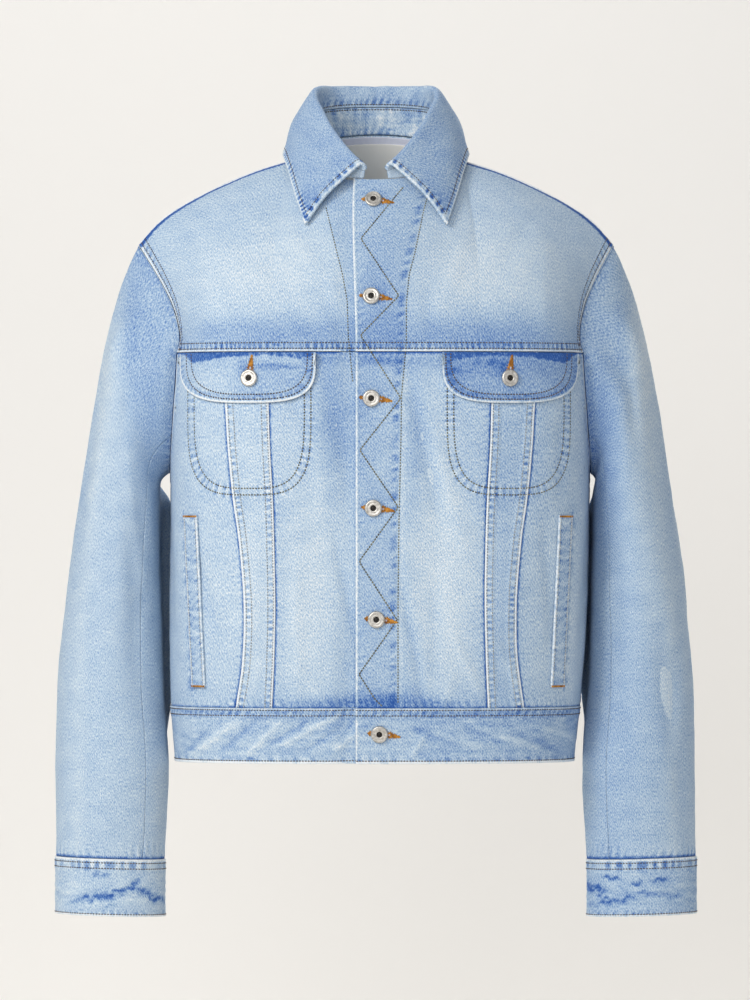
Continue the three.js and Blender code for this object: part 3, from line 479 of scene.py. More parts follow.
# A line given by its places in the front view, laid on the pieces under it
def drape(names, places):
    outer = np.concatenate([pieces[n]["outer"].reshape(-1, 3) for n in names])
    normal = np.concatenate([pieces[n]["normal"].reshape(-1, 3) for n in names])
    facing = normal[:, 1] < -0.05
    outer, normal = outer[facing], normal[facing]
    places = np.asarray(places, float)
    spots = outer[:, [0, 2]]
    far = ((places**2).sum(1)[:, None] - 2 * places @ spots.T + (spots**2).sum(1))
    near = np.argpartition(far, 4, axis=1)[:, :4]
    weight = 1 / (np.maximum(np.take_along_axis(far, near, 1), 0) + 0.05)
    weight = (weight / weight.sum(1, keepdims=True))[..., None]
    line = (outer[near] * weight).sum(1)
    line[:, 0], line[:, 2] = places[:, 0], places[:, 1]
    return line, unit((normal[near] * weight).sum(1))


def resample(line, pitch):
    gone = np.concatenate([[0], np.cumsum(np.linalg.norm(np.diff(line, axis=0), axis=1))])
    count = max(int(gone[-1] / pitch), 2)
    at = np.linspace(0, gone[-1], count + 1)
    return np.stack([np.interp(at, gone, line[:, k]) for k in range(line.shape[1])], -1)


def pathThrough(corners, pitch=1.5):
    return resample(np.asarray(corners, float), pitch)


stitchSets = {"brown": [], "olive": [], "ash": [], "tan": [], "pale": []}
stitchSize = {"pitch": 2.9, "length": 2.55, "width": 1.15, "height": 0.36, "bury": 0.08}


# Topstitching: beads of thread laid end to end, each a closed form with two rings of four points and two tips
def addStitches(kind, line, way, pitch=None, across=False, length=None, width=None, lift=0.0):
    pitch = pitch or stitchSize["pitch"]
    both = resample(np.concatenate([line, way], 1), pitch)
    spots, ups = both[:, :3], unit(both[:, 3:])
    middle = (spots[:-1] + spots[1:]) / 2
    up = unit(ups[:-1] + ups[1:])
    forward = unit(spots[1:] - spots[:-1])
    sideways = unit(np.cross(forward, up))
    if across:
        forward, sideways = sideways, forward
    share = (np.arange(len(middle)) + 0.5) / len(middle)
    half = (length(share) if callable(length) else length or stitchSize["length"]) / 2 * np.ones(len(middle))
    half = half[:, None]
    wide = (width or stitchSize["width"]) / 2
    tall = stitchSize["height"]
    middle = middle + up * (lift + stitchSize["bury"])
    ring = [(0, 1), (1, 0), (0, -1), (-1, 0)]
    points = [middle - forward * half - up * tall * 0.7]
    for place in (-0.52, 0.52):
        for s, u in ring:
            points.append(middle + forward * half * place + sideways * wide * s + up * tall * (u + 0.25))
    points.append(middle + forward * half - up * tall * 0.7)
    stitchSets[kind].append(np.stack(points, 1))


def buildStitches(kind, name, material):
    if not stitchSets[kind]:
        return
    points = np.concatenate(stitchSets[kind])
    one = [(0, 2, 1), (0, 3, 2), (0, 4, 3), (0, 1, 4), (1, 2, 6, 5), (2, 3, 7, 6), (3, 4, 8, 7), (4, 1, 5, 8),
           (9, 5, 6), (9, 6, 7), (9, 7, 8), (9, 8, 5)]
    faces = [[v + 10 * k for v in face] for k in range(len(points)) for face in one]
    addMesh(name, points.reshape(-1, 3), faces, material)
    print("stitches", name, len(points))


# materials


def linear(hexColour):
    parts = [int(hexColour[i:i + 2], 16) / 255 for i in (1, 3, 5)]
    return tuple(c / 12.92 if c <= 0.04045 else ((c + 0.055) / 1.055) ** 2.4 for c in parts) + (1.0,)


def addNode(tree, kind, settings=None, links=None):
    node = tree.nodes.new(kind)
    for key, value in (settings or {}).items():
        if isinstance(key, str) and hasattr(node, key):
            setattr(node, key, value)
        else:
            node.inputs[key].default_value = value
    for key, source in (links or {}).items():
        tree.links.new(source, node.inputs[key])
    return node


def newMaterial(name):
    material = bpy.data.materials.new(name)
    material.use_nodes = True
    tree = material.node_tree
    return material, tree, tree.nodes["Principled BSDF"]


# Ring-spun cotton twill, indigo warp over a white weft, stone-washed. The fadeAndShade value picks the blue: the
# wash's fade, with painted shade and painted highlight added in places. It is broken up by the flecks of the uneven
# warp, the slanting twill lines and broad faded clouds. Matt, with no shine
def washedDenim(name, look):
    material, tree, shader = newMaterial(name)
    fadeAndShade = addNode(tree, "ShaderNodeAttribute", {"attribute_name": "fadeAndShade"})
    cloth = addNode(tree, "ShaderNodeTexCoord").outputs["UV"]
    upright = addNode(tree, "ShaderNodeMapping", {"Scale": look["fleck"] + (1,)}, {"Vector": cloth})
    # the warp threads are 0.5 mm apart; their flecks are drawn about 1.4 mm wide and 2.3 mm long so that they show
    fleck = addNode(tree, "ShaderNodeTexNoise", {"Scale": 1.0, "Detail": 1.0, "Roughness": 0.7}, {"Vector": upright.outputs[0]})
    cloud = addNode(tree, "ShaderNodeTexNoise", {"Scale": 42.0, "Detail": 3.0, "Roughness": 0.55}, {"Vector": cloth})
    # the real twill lines are under 1 mm apart; drawn at 2.3 mm so that they show at this size
    slanted = addNode(tree, "ShaderNodeMapping", {"Rotation": (0, 0, math.radians(-35))}, {"Vector": cloth})
    lines = addNode(tree, "ShaderNodeTexWave", {"Scale": 137.0, "Distortion": 2.2, "Detail": 1.0, "Detail Scale": 3.0},
                    {"Vector": slanted.outputs[0]})
    total = fadeAndShade.outputs["Fac"]
    for source, strength in ((fleck.outputs[0], look["flecks"]), (cloud.outputs[0], look["clouds"]),
                             (lines.outputs["Fac"], look["twill"])):
        part = addNode(tree, "ShaderNodeMath", {"operation": "MULTIPLY_ADD", 1: strength, 2: -strength / 2}, {0: source})
        total = addNode(tree, "ShaderNodeMath", {"operation": "ADD"}, {0: total, 1: part.outputs[0]}).outputs[0]
    ramp = addNode(tree, "ShaderNodeValToRGB", None, {0: total})
    elements = ramp.color_ramp.elements
    while len(elements) < len(look["colours"]):
        elements.new(0.5)
    for element, (place, colour) in zip(elements, look["colours"]):
        element.position, element.color = place, linear(colour)
    tree.links.new(ramp.outputs[0], shader.inputs["Base Color"])
    rough = addNode(tree, "ShaderNodeMath", {"operation": "ADD"}, {0: fleck.outputs[0], 1: lines.outputs["Fac"]})
    bump = addNode(tree, "ShaderNodeBump", {"Strength": 0.5, "Distance": 0.0003}, {"Height": rough.outputs[0]})
    tree.links.new(bump.outputs[0], shader.inputs["Normal"])
    shader.inputs["Roughness"].default_value = 0.95
    shader.inputs["Specular IOR Level"].default_value = 0.15
    shader.inputs["Sheen Weight"].default_value = 0.04
    shader.inputs["Sheen Roughness"].default_value = 0.6
    return material


denimLook = {
    "fleck": (720, 440), "flecks": 0.95, "clouds": 0.14, "twill": 0.09,
    "colours": [(0.0, "#2d569f"), (0.16, "#466fb0"), (0.32, "#7090c0"), (0.46, "#90abcc"), (0.6, "#abc2d8"),
                (0.76, "#c6d6e2"), (0.95, "#e8edf0")]}
lightDenim = washedDenim("light washed denim", denimLook)
collarDenim = washedDenim("doubled washed denim", {**denimLook, "clouds": 0.22})


# Cotton-wrapped sewing thread: a dull colour with small changes along it
def threadMaterial(name, dark, light, scale):
    material, tree, shader = newMaterial(name)
    spot = addNode(tree, "ShaderNodeTexCoord")
    noise = addNode(tree, "ShaderNodeTexNoise", {"Scale": scale, "Detail": 1.0}, {"Vector": spot.outputs["Object"]})
    blend = addNode(tree, "ShaderNodeValToRGB", None, {0: noise.outputs[0]})
    blend.color_ramp.elements[0].position, blend.color_ramp.elements[0].color = 0.35, linear(dark)
    blend.color_ramp.elements[1].position, blend.color_ramp.elements[1].color = 0.65, linear(light)
    tree.links.new(blend.outputs[0], shader.inputs["Base Color"])
    shader.inputs["Roughness"].default_value = 0.75
    return material


brownThread = threadMaterial("brown-grey topstitch thread", "#433c3c", "#6f6664", 150)
oliveThread = threadMaterial("faded olive topstitch thread", "#555549", "#84836f", 110)
ashThread = threadMaterial("worn ash-grey topstitch thread", "#888d92", "#b3b9bb", 110)
tanThread = threadMaterial("tan buttonhole thread", "#8f5a18", "#cf9238", 260)


# Woven tape and label: a fine rib across plain cotton
def tapeMaterial(name, dark, light, ribs):
    material, tree, shader = newMaterial(name)
    cloth = addNode(tree, "ShaderNodeTexCoord")
    rib = addNode(tree, "ShaderNodeTexWave", {"Scale": ribs, "Distortion": 0.6}, {"Vector": cloth.outputs["UV"]})
    blend = addNode(tree, "ShaderNodeValToRGB", None, {0: rib.outputs["Fac"]})
    blend.color_ramp.elements[0].color, blend.color_ramp.elements[1].color = linear(dark), linear(light)
    tree.links.new(blend.outputs[0], shader.inputs["Base Color"])
    bump = addNode(tree, "ShaderNodeBump", {"Strength": 0.3, "Distance": 0.0002}, {"Height": rib.outputs["Fac"]})
    tree.links.new(bump.outputs[0], shader.inputs["Normal"])
    shader.inputs["Roughness"].default_value = 0.85
    return material


lilacTape = tapeMaterial("lilac neck tape", "#cdd2e6", "#eceef8", 260)
creamLabel = tapeMaterial("bare cream label", "#f1efe6", "#fbf9f3", 420)


# Brushed nickel: a fine noise in its colour and roughness. The dark middle of each button is painted shade, in its own
# material
def nickelMaterial():
    material, tree, shader = newMaterial("brushed nickel button")
    spot = addNode(tree, "ShaderNodeTexCoord")
    noise = addNode(tree, "ShaderNodeTexNoise", {"Scale": 420.0, "Detail": 3.0}, {"Vector": spot.outputs["Object"]})
    ramp = addNode(tree, "ShaderNodeValToRGB", None, {0: noise.outputs[0]})
    ramp.color_ramp.elements[0].position, ramp.color_ramp.elements[0].color = 0.3, linear("#aeaaa2")
    ramp.color_ramp.elements[1].position, ramp.color_ramp.elements[1].color = 0.7, linear("#e2dfd8")
    tree.links.new(ramp.outputs[0], shader.inputs["Base Color"])
    shader.inputs["Metallic"].default_value = 0.85
    rough = addNode(tree, "ShaderNodeMapRange", {"To Min": 0.36, "To Max": 0.52}, {"Value": noise.outputs[0]})
    tree.links.new(rough.outputs[0], shader.inputs["Roughness"])
    return material


nickel = nickelMaterial()
# The floor of each button's hollow is painted dark: painted shade in the hollow, with a little shine
material, tree, shader = newMaterial("dark hollow of the button")
shader.inputs["Base Color"].default_value = linear("#2a2724")
shader.inputs["Roughness"].default_value = 0.5
shader.inputs["Metallic"].default_value = 0.4
hollowShade = material
print("materials made")

# lines that several pieces share

fine = 1.7  # mm between points on the front
plainStep = 2.75  # and elsewhere


def count(length, step, multiple=3):
    return max(int(math.ceil(length / step / multiple)) * multiple, multiple)


# Shares from 0 to 1 over a length, closer together near both ends, where the seams are
def spaced(length, step, near=0.5):
    place = np.linspace(0, length, 1500)
    density = 1 / (step * (near + (1 - near) * smooth((np.minimum(place, length - place) - 9) / 9)))
    total = np.concatenate([[0], np.cumsum((density[1:] + density[:-1]) / 2 * np.diff(place))])
    steps = max(int(np.ceil(total[-1] / 3)) * 3, 3)
    return np.interp(np.linspace(0, total[-1], steps + 1), total, place) / length


def lapDip(side, x):
    return 0 * x if side > 0 else (size["doubled"] + 0.6) * smooth((x + 46) / 22)


def frontSeamX(side, column, z):
    return size["seamCentre"] + side * lookUp(frontSeams, z)[column]


armTurns = np.linspace(0, 360, 181)
armholeLine = {side: armholeEdge(side, armTurns) for side in (1, -1)}
ringAngles = np.linspace(-np.pi / 2, np.pi / 2, 121)
yokeLineFront = bodyPoint(ringAngles, size["yokeZ"] + 0 * ringAngles)
yokeLineBack = bodyPoint(ringAngles + np.pi, size["yokeZ"] + 0 * ringAngles)
allAngles = np.linspace(0, 2 * np.pi, 361)
waistLine = bodyPoint(allAngles, size["waistZ"] + 0 * allAngles)
hemLine = bodyPoint(allAngles, size["hemZ"] + 0 * allAngles)
shoulderAts = np.linspace(1, 2, 60)
shoulderLine = {side: yokePoint(False, side * shoulderAts, 1 + 0 * shoulderAts) for side in (1, -1)}

frontButtons = [(-3, -43), (-5, -139.5), (-5, -240), (-3, -348), (0, -457.5), (3, -570.5)]

# The front's patches: faded paler ones and deeper blue ones, with painted shade and painted light among them. The
# painted shade lies in the dip beside the button band, below the yoke seam, and over the +x pocket and mid strip; the
# painted light is in the paler strips near the sides, where the body turns away. x, z, half width, half height, tone
frontPatches = [
    (-112, -112, 62, 46, 0.13), (108, -112, 62, 46, 0.12), (-150, -60, 60, 30, -0.02), (-105, -176, 95, 17, -0.2),
    (110, -176, 95, 19, -0.24), (-40, -262, 26, 60, -0.17), (39, -290, 9, 58, -0.12),
    (5, -203, 24, 5, -0.2), (-70, -200, 40, 4, -0.08), (-62, -430, 30, 110, 0.11),
    (66, -410, 34, 120, 0.13), (-122, -430, 16, 90, 0.1), (126, -430, 18, 100, -0.05), (130, -296, 60, 60, -0.12), (6, -130, 22, 60, -0.09), (-160, -440, 20, 90, 0.05),
    (-128, -290, 60, 34, 0.05), (130, -290, 60, 34, 0.05), (-80, -206, 46, 10, -0.12), (56, -206, 30, 10, -0.12),
    (0, -534, 230, 12, -0.05), (-52, -541, 44, 6, -0.24), (10, -538, 34, 9, -0.26), (66, -541, 34, 5, -0.2),
    (-30, -500, 14, 60, -0.06), (34, -520, 14, 50, -0.05),
    (118, -500, 20, 60, -0.05), (180, -400, 22, 150, 0.04), (196, -470, 12, 80, 0.06)]
# x, z, length, turn, width, depth, tone
frontCreases = [
    (-40, -262, 150, 2, 10, -1.7, -0.04), (-56, -300, 130, -6, 8, 1.1, 0.04), (-30, -430, 130, 3, 5, -1.3, -0.05),
    (-78, -470, 140, -8, 7, 1.3, 0.04), (46, -280, 170, 3, 8, -1.8, -0.06), (72, -330, 130, 6, 8, 1.3, 0.04),
    (34, -470, 150, 2, 5, -1.4, -0.07), (58, -470, 130, -10, 7, -1.2, -0.03), (88, -500, 80, 16, 5, 1.0, 0.04),
    (-88, -236, 60, 22, 6, -1.1, -0.04),
    (-168, -430, 120, 6, 6, -1.0, -0.04), (170, -420, 130, -5, 6, -1.0, -0.04), (-120, -520, 50, -24, 4, 0.6, 0.04),
    (-60, -528, 40, 28, 4, 0.6, 0.04), (70, -530, 44, -26, 4, 0.6, 0.04), (128, -500, 60, 20, 5, 0.7, 0.04),
    (-178, -300, 90, 10, 6, -0.9, -0.05), (182, -300, 90, -10, 6, -0.9, -0.05)]
yokeCreases = [
    (-70, -100, 110, 28, 9, 0.8, 0.02), (-130, -90, 100, 40, 9, -0.8, -0.02), (-160, -130, 90, 12, 8, 0.7, 0.02),
    (80, -105, 110, -26, 9, 0.8, 0.02), (136, -92, 100, -40, 9, -0.8, -0.02), (166, -130, 90, -12, 8, 0.7, 0.02),
    (-45, -150, 70, 8, 7, -0.7, -0.03), (52, -150, 70, -8, 7, -0.7, -0.03)]


def facingX(z):
    return np.interp(z, [-523, -441, -359, -280, -238, -200, -182, -147, -118, -96, -54, -20],
                     [21.6, 21.6, 22.6, 24.5, 25, 28.5, 29.8, 29.8, 32.7, 38.4, 47, 56])


def leftFacingX(z):
    return np.interp(z, [-226, -196, -182, -144, -118, -96, -70, -40], [-22.6, -25.6, -27.2, -28.4, -33, -38.5, -44.7, -52])


# The button band is a little bluer than the panels. Its facing leaves broken blue blotches beside its stitches,
# and each button a darker halo
def bandPaint(points):
    x, z = points[..., 0], points[..., 2]
    edge = facingX(z)
    inside = smooth((edge - x) / 3) * smooth((x - leftFacingX(z) + 1) / 3)
    wave = seamMarks(-z, x, 9, 0.5, 3)
    ripple = np.exp(-(((x - edge + 4) / 4) ** 2)) + 0.6 * np.exp(-(((x - size["leftEdge"] - 6) / 4) ** 2))
    blotch = smooth(seamMarks(-z, x, 15, 0.2, 8) * -1.4) * np.exp(-(((x - edge + 5) / 3.6) ** 2))
    ridge = np.exp(-(((x - edge - 3) / 1.6) ** 2)) * (z < size["yokeZ"])
    halo = fadeAndShadePatches(points, [(bx + 5, bz + 3, 13, 12, -0.1) for bx, bz in frontButtons])
    fadeAndShade = inside * (-0.07 + 0.11 * wave * ripple - 0.24 * blotch + halo) + 0.07 * ridge
    return 0.3 * inside * wave * ripple + 0.25 * inside, fadeAndShade


def frontPaint(points, isYoke=False):
    height, fadeAndShade = creaseEffect(points, yokeCreases if isYoke else frontCreases)
    more, moreFadeAndShade = bandPaint(points)
    return height + more, fadeAndShade + moreFadeAndShade + fadeAndShadePatches(points, frontPatches)


# the cloth pieces

sides = [(1, "left", "Left"), (-1, "right", "Right")]


def bodyPanel(name, node, width, lineA, lineB, topOf, step, **rest):
    low = size["waistZ"] + size["gap"] / 2
    a = spaced(width, step)[None, :]
    b = spaced(351, step)[:, None]
    z = mix(low, size["yokeZ"], b) + 0 * a
    angle = mix(lineA(z), lineB(z), a)
    for _ in range(3):
        z = mix(low, topOf(angle, z) - size["gap"], b)
        angle = mix(lineA(z), lineB(z), a)
    return addCloth(name, node, bodyPoint(angle, z), size["denim"], lightDenim, **rest)


def flatTop(angle, z):
    return size["yokeZ"] + 0 * angle


def sideTop(angle, z):
    z = size["yokeZ"] + 0 * angle
    for _ in range(12):
        y = bodyPoint(angle, z)[..., 1]
        inside = np.where(y < 0, -y < size["armFront"], y < size["armBack"])
        z = np.where(inside, mix(z, armholeTopZ(y), 0.6), size["yokeZ"])
    return z


def seamLine(angleOf):
    z = np.linspace(size["waistZ"], size["yokeZ"], 90)
    return bodyPoint(angleOf(z), z)


def pocketOutline(side, shape, insetBy=0.0):
    half, low, top, rounding, power = shape
    turn = np.linspace(-0.5, 0.5, 121) * np.pi * 0.998
    across = np.sin(turn)
    x = size["pocketCentre"] + side * 128 + (half - insetBy) * across
    bulge = 1 - (1 - np.abs(across) ** power) ** (1 / power)
    z = low + insetBy + rounding * bulge
    x = np.concatenate([[x[0]], x, [x[-1]]])
    z = np.concatenate([[top], z, [top]])
    return np.stack([x, z], -1)


pocketShape = (64, -338, -197.5, 84, 3.6)
flapShape = (66, -244.5, -195.3, 41, 3.2)


# The bag's stitches gather the front in a band round the pocket
def pocketPaint(side):
    outline = pathThrough(pocketOutline(side, pocketShape, 6.2), 2.5)
    line = bodyPoint(frontAngle(outline[:, 0], outline[:, 1]), outline[:, 1])
    style = seamStyle(rise=0.2, pucker=0.4, pitch=6.8, wide=0.5, reach=4.4, tone=0.46, edge=0.02, deep=0.0,
                      seed=2 + side, skew=0)
    return line, style


def addFronts():
    for side, word, cap in sides:
        gap = side * size["gap"] / 2 / 170
        edge = size["leftEdge"] if side > 0 else size["rightEdge"]
        inner = lambda z: frontAngle(frontSeamX(side, "inner", z), z)
        outer = lambda z: frontAngle(frontSeamX(side, "outer", z), z)
        waist = (waistLine, underStyle(reach=9, pucker=0.35, tone=0.13, edge=-0.3, seed=4))
        under = (yokeLineFront, underStyle(reach=9, seed=5))
        bag = pocketPaint(side)
        edgeLine = seamLine(lambda z: frontAngle(edge + 0 * z, z))
        seams = [waist, under, bag, (seamLine(inner), underStyle(seed=6, edge=-0.4))]
        if side > 0:
            seams.append((edgeLine, seamStyle(wide=2.2, rise=0.35, pucker=0.2, reach=3, tone=0.08, edge=0.36, deep=0)))
        bodyPanel(f"frontCentre{cap}", f"front_centre_{word}", 125, lambda z: frontAngle(edge + 0 * z, z),
                  lambda z: inner(z) - gap, flatTop, fine, turn=side, seams=seams,
                  lift=lambda p: -lapDip(side, p[..., 0]), paint=frontPaint)
        lap = dict(pucker=0.4, tone=0.26, edge=0.42, deep=-0.03, pitch=6.6, reach=3.4, skew=0)
        seams = [waist, under, bag, (seamLine(inner), seamStyle(seed=7, wide=8.5, **lap)),
                 (seamLine(outer), seamStyle(seed=8, wide=9.5, **lap))]
        bodyPanel(f"frontMiddle{cap}", f"front_middle_{word}", 45, lambda z: inner(z) + gap, lambda z: outer(z) - gap,
                  flatTop, fine, turn=side, seams=seams, paint=frontPaint)
        arm = (armholeLine[side], seamStyle(seed=9))
        sideSeam = (seamLine(lambda z: side * np.pi / 2 + 0 * z), seamStyle(seed=3, rise=0.3))
        weltZ = np.linspace(-528, -352, 60)
        weltX = 2 + side * (mix(176, 184, (weltZ + 525) / 170) + 8.5)
        besideWelt = (bodyPoint(frontAngle(weltX, weltZ), weltZ),
                      underStyle(seed=46 + side, pitch=14, tone=0.2, reach=5, edge=-0.25))
        seams = [waist, under, bag, arm, sideSeam, besideWelt, (seamLine(outer), underStyle(seed=10, edge=-0.4))]
        bodyPanel(f"frontSide{cap}", f"front_side_{word}", 130, lambda z: outer(z) + gap,
                  lambda z: side * np.pi / 2 - gap + 0 * z, sideTop, fine, turn=side, seams=seams, paint=frontPaint,
                  widthAt=0)
        at = spaced(235, fine)
        split = side * edge / size["neckSpread"]
        at = np.where(at < 0.45, mix(split, 1, at / 0.45), mix(1, 1.998, (at - 0.45) / 0.55))
        share = 0.002 + 0.996 * spaced(185, fine)[:, None]
        base = yokePoint(False, side * at[None, :], share)
        # the shoulder seam's strong dark line (edge -0.8) is painted shade along the top of the shoulder
        seams = [(yokeLineFront, seamStyle(seed=11, pitch=5.6, tone=0.26, skew=0.1)), arm,
                 (shoulderLine[side], underStyle(seed=12, edge=-0.8, edgeWide=5))]
        if side > 0:
            seams.append((base[:, 0], seamStyle(wide=2.2, rise=0.35, pucker=0.2, reach=3, tone=0.08, edge=0.36, deep=0)))
        addCloth(f"frontYoke{cap}", f"front_yoke_{word}", base, size["denim"], lightDenim, turn=side, seams=seams,
                 lift=lambda p: -lapDip(side, p[..., 0]), paint=lambda p: frontPaint(p, True), widthAt=0)
    print("fronts made")


backPatches = [(0, -60, 110, 50, 0.12), (-60, -380, 60, 110, 0.1), (60, -380, 60, 110, 0.1), (0, -182, 190, 14, -0.16),
               (-150, -360, 30, 100, 0.06), (150, -360, 30, 100, 0.06), (0, -534, 230, 12, -0.05)]
backCreases = [
    (-60, -300, 150, 14, 9, 1.1, 0.04), (40, -340, 160, -12, 10, -1.2, -0.04), (-20, -460, 120, 30, 8, 0.9, 0.03),
    (120, -400, 140, 8, 9, -1.0, -0.03), (-130, -420, 140, -10, 9, 1.0, 0.03), (80, -500, 60, 40, 6, 0.8, 0.03),
    (-80, -80, 120, 40, 10, -1.0, -0.02), (70, -90, 120, -36, 10, 1.0, 0.02), (0, -130, 90, 4, 9, 0.8, 0.02)]


def backPaint(points):
    height, fadeAndShade = creaseEffect(points, backCreases)
    return height, fadeAndShade + fadeAndShadePatches(points, backPatches)


def addBacks():
    arms = [(armholeLine[1], seamStyle(seed=13)), (armholeLine[-1], seamStyle(seed=14))]
    waist = (waistLine, underStyle(reach=9, pucker=0.35, tone=0.13, edge=-0.3, seed=4))
    under = (yokeLineBack, underStyle(reach=9, seed=5))
    seamAngle = lambda side, z: side * np.radians(180 - lookUp(backSeams, z)["angle"])
    gap = size["gap"] / 2 / 170
    for side, word, cap in sides:
        lap = (seamLine(lambda z: seamAngle(side, z)), underStyle(seed=16))
        bodyPanel(f"backSide{cap}", f"back_side_{word}", 150, lambda z: side * (np.pi / 2 + gap) + 0 * z,
                  lambda z: seamAngle(side, z) - side * gap, sideTop, plainStep, turn=side,
                  seams=[waist, under, arms[0 if side > 0 else 1], lap], paint=backPaint, widthAt=0)
    lap = [(seamLine(lambda z: seamAngle(side, z)), seamStyle(seed=15 + side)) for side in (1, -1)]
    bodyPanel("backCentre", "back_centre", 270, lambda z: seamAngle(1, z) + gap,
              lambda z: 2 * np.pi + seamAngle(-1, z) - gap, flatTop, plainStep, seams=[waist, under] + lap,
              paint=backPaint)
    at = 1.998 * (2 * spaced(480, plainStep) - 1)
    share = 0.002 + 0.996 * spaced(225, plainStep)[:, None]
    seams = [(yokeLineBack, seamStyle(seed=17)), arms[0], arms[1],
             (shoulderLine[1], seamStyle(seed=18, wide=6, rise=0.4)),
             (shoulderLine[-1], seamStyle(seed=19, wide=6, rise=0.4))]
    addCloth("backYoke", "back_yoke", yokePoint(True, at[None, :], share), size["denim"], lightDenim, turn=-1,
             seams=seams, paint=backPaint, widthAt=0)
    print("backs made")


# x, z, length, turn, width, depth, tone: the band's diagonal creases, paler on the ridges and darker in the troughs,
# in part worn fade and in part painted shade
bandCreases = [
    (-158, -574, 62, -62, 4, 1.4, 0.17), (-134, -572, 50, -56, 3, -1.2, -0.15), (-112, -576, 56, -54, 3.4, 1.3, 0.17),
    (-90, -572, 40, -64, 2.6, -1.0, -0.14), (-68, -568, 62, -70, 3, 1.2, 0.17), (-52, -576, 50, -66, 2.6, -1.0, -0.13),
    (-30, -578, 36, -58, 3, 0.9, 0.12), (-180, -582, 40, -50, 3, -1.0, -0.13), (40, -584, 34, -40, 3, 1.0, 0.14),
    (56, -572, 50, 62, 3, -1.1, -0.15), (84, -578, 54, 66, 3.4, 1.2, 0.15), (104, -570, 44, 60, 2.6, -1.0, -0.13),
    (132, -576, 58, 64, 3.4, 1.3, 0.16), (158, -578, 46, 58, 3, -1.1, -0.14), (180, -570, 40, 62, 3, 1.0, 0.12)]


def addWaistband():
    def bandPaintWaist(points):
        height, fadeAndShade = creaseEffect(points, bandCreases)
        z = points[..., 2]
        mottled = crumple(points * np.array([1, 1, 1.6]), 15, 22)
        x = points[..., 0]
        streak = smooth(seamMarks(x, z, 21, -1.2, 7) * -1.6) * np.exp(-(((z + 561) / 6) ** 2)) * smooth((x + 105) / 20)
        streak = streak * smooth((10 - x) / 20)
        # the front's +x half is painted darker: painted shade, away from the key lamp
        return height, fadeAndShade - 0.04 - 0.07 * smooth((x - 20) / 30) * smooth(-points[..., 1] / 40) + 0.045 * mottled - 0.04 * smooth((z + 560) / 10) - 0.16 * streak

    def band(name, node, width, lineA, lineB, step, turn, dip, front):
        a = spaced(width, step)[None, :]
        b = spaced(55, step)[:, None]
        z = mix(size["hemZ"], size["waistZ"] - size["gap"] / 2, b) + 0 * a
        seams = [(waistLine, seamStyle(wide=9, seed=20, rise=0.4, edge=0.24)),
                 (hemLine, seamStyle(wide=3, seed=21, rise=0.1, pucker=0.3, edge=0.5, edgeWide=2.4, reach=5, deep=0, pitch=13, tone=0.22))]
        seams += front
        addCloth(name, node, bodyPoint(mix(lineA(z), lineB(z), a), z), size["doubled"], collarDenim, turn=turn,
                 lift=lambda p: size["bandProud"] - dip(p[..., 0]) + 0 * p[..., 0], seams=seams, paint=bandPaintWaist)

    gap = size["gap"] / 2 / 170
    for side, word, cap in sides:
        edge = size["leftEdge"] if side > 0 else size["rightEdge"]
        zs = np.linspace(size["hemZ"], size["waistZ"], 20)
        line = bodyPoint(frontAngle(edge + 0 * zs, zs), zs)
        front = [(line, seamStyle(wide=2, rise=0.1, pucker=0.15, edge=0.3, reach=3, deep=0))] if side > 0 else []
        band(f"waistband{cap}", f"waistband_{word}", 245, lambda z: frontAngle(edge + 0 * z, z),
             lambda z: side * (np.pi / 2 - gap) + 0 * z, fine, side, lambda x: lapDip(side, x), front)
    band("waistbandBack", "waistband_back", 560, lambda z: np.pi / 2 + gap + 0 * z,
         lambda z: 1.5 * np.pi - gap + 0 * z, plainStep, 1, lambda x: 0, [])
    print("waistband made")


def addCollar():
    around = np.linspace(size["collarEnd"], -size["collarEnd"], count(470, fine * 0.8) + 1)[None, :]
    share = np.linspace(0, 1, count(30, fine) + 1)[:, None] * size["standShare"]
    foot, ridge, edge, bulge = collarStation(around + 0 * share)
    stand = foot + (ridge - foot) * share[..., None]

    def standPaint(points):
        marks = crumple(points * np.array([1, 1, 0.45]), 15, 44) + 0.5 * crumple(points, 7, 45)
        return 0.3 * marks, 0.12 * marks + 0.02

    addCloth("collarStand", "collar_stand", stand - gridNormals(stand, 1) * size["denim"], size["denim"], collarDenim,
             turn=-1, soften=0.3, paint=standPaint,
             seams=[(stand[-1], seamStyle(wide=3, edge=-0.1, rise=-0.2, seed=45)),
                    (stand[0], seamStyle(wide=4, edge=-0.5, edgeWide=1.6, tone=0.2))])
    share = spaced(105, fine)[:, None]
    inside = fallPoint(around + 0 * share, share + 0 * around)
    base = inside - gridNormals(inside, 1) * size["doubled"]
    rope = dict(wide=7.5, pucker=0.5, tone=0.5, reach=4.6, edge=0.34, edgeWide=1.6, deep=-0.06, rise=0.15, skew=0.15)
    ends = [(base[-1], seamStyle(seed=23, pitch=5.2, **rope)),
            (base[:, 0][len(share) // 3:], seamStyle(seed=24, pitch=9, **rope)),
            (base[:, -1][len(share) // 3:], seamStyle(seed=25.4, pitch=9, **rope)),
            (base[0], seamStyle(wide=8, seed=26, edge=0.1, tone=0.2))]

    def collarPaint(points):
        behind = smooth((points[..., 1] - 20) / 20)
        marks = crumple(points * np.array([1, 1, 0.6]), 17, 46)
        tip = fadeAndShadePatches(points, [(-62, -52, 18, 18, -0.15), (66, -52, 18, 18, -0.13)])
        return 0.2 * behind * marks, behind * (0.06 * marks + 0.06) + tip

    addCloth("collarFall", "collar_fall", base, size["doubled"], collarDenim, turn=-1, seams=ends, paint=collarPaint,
             tone=0.5)
    print("collar made")


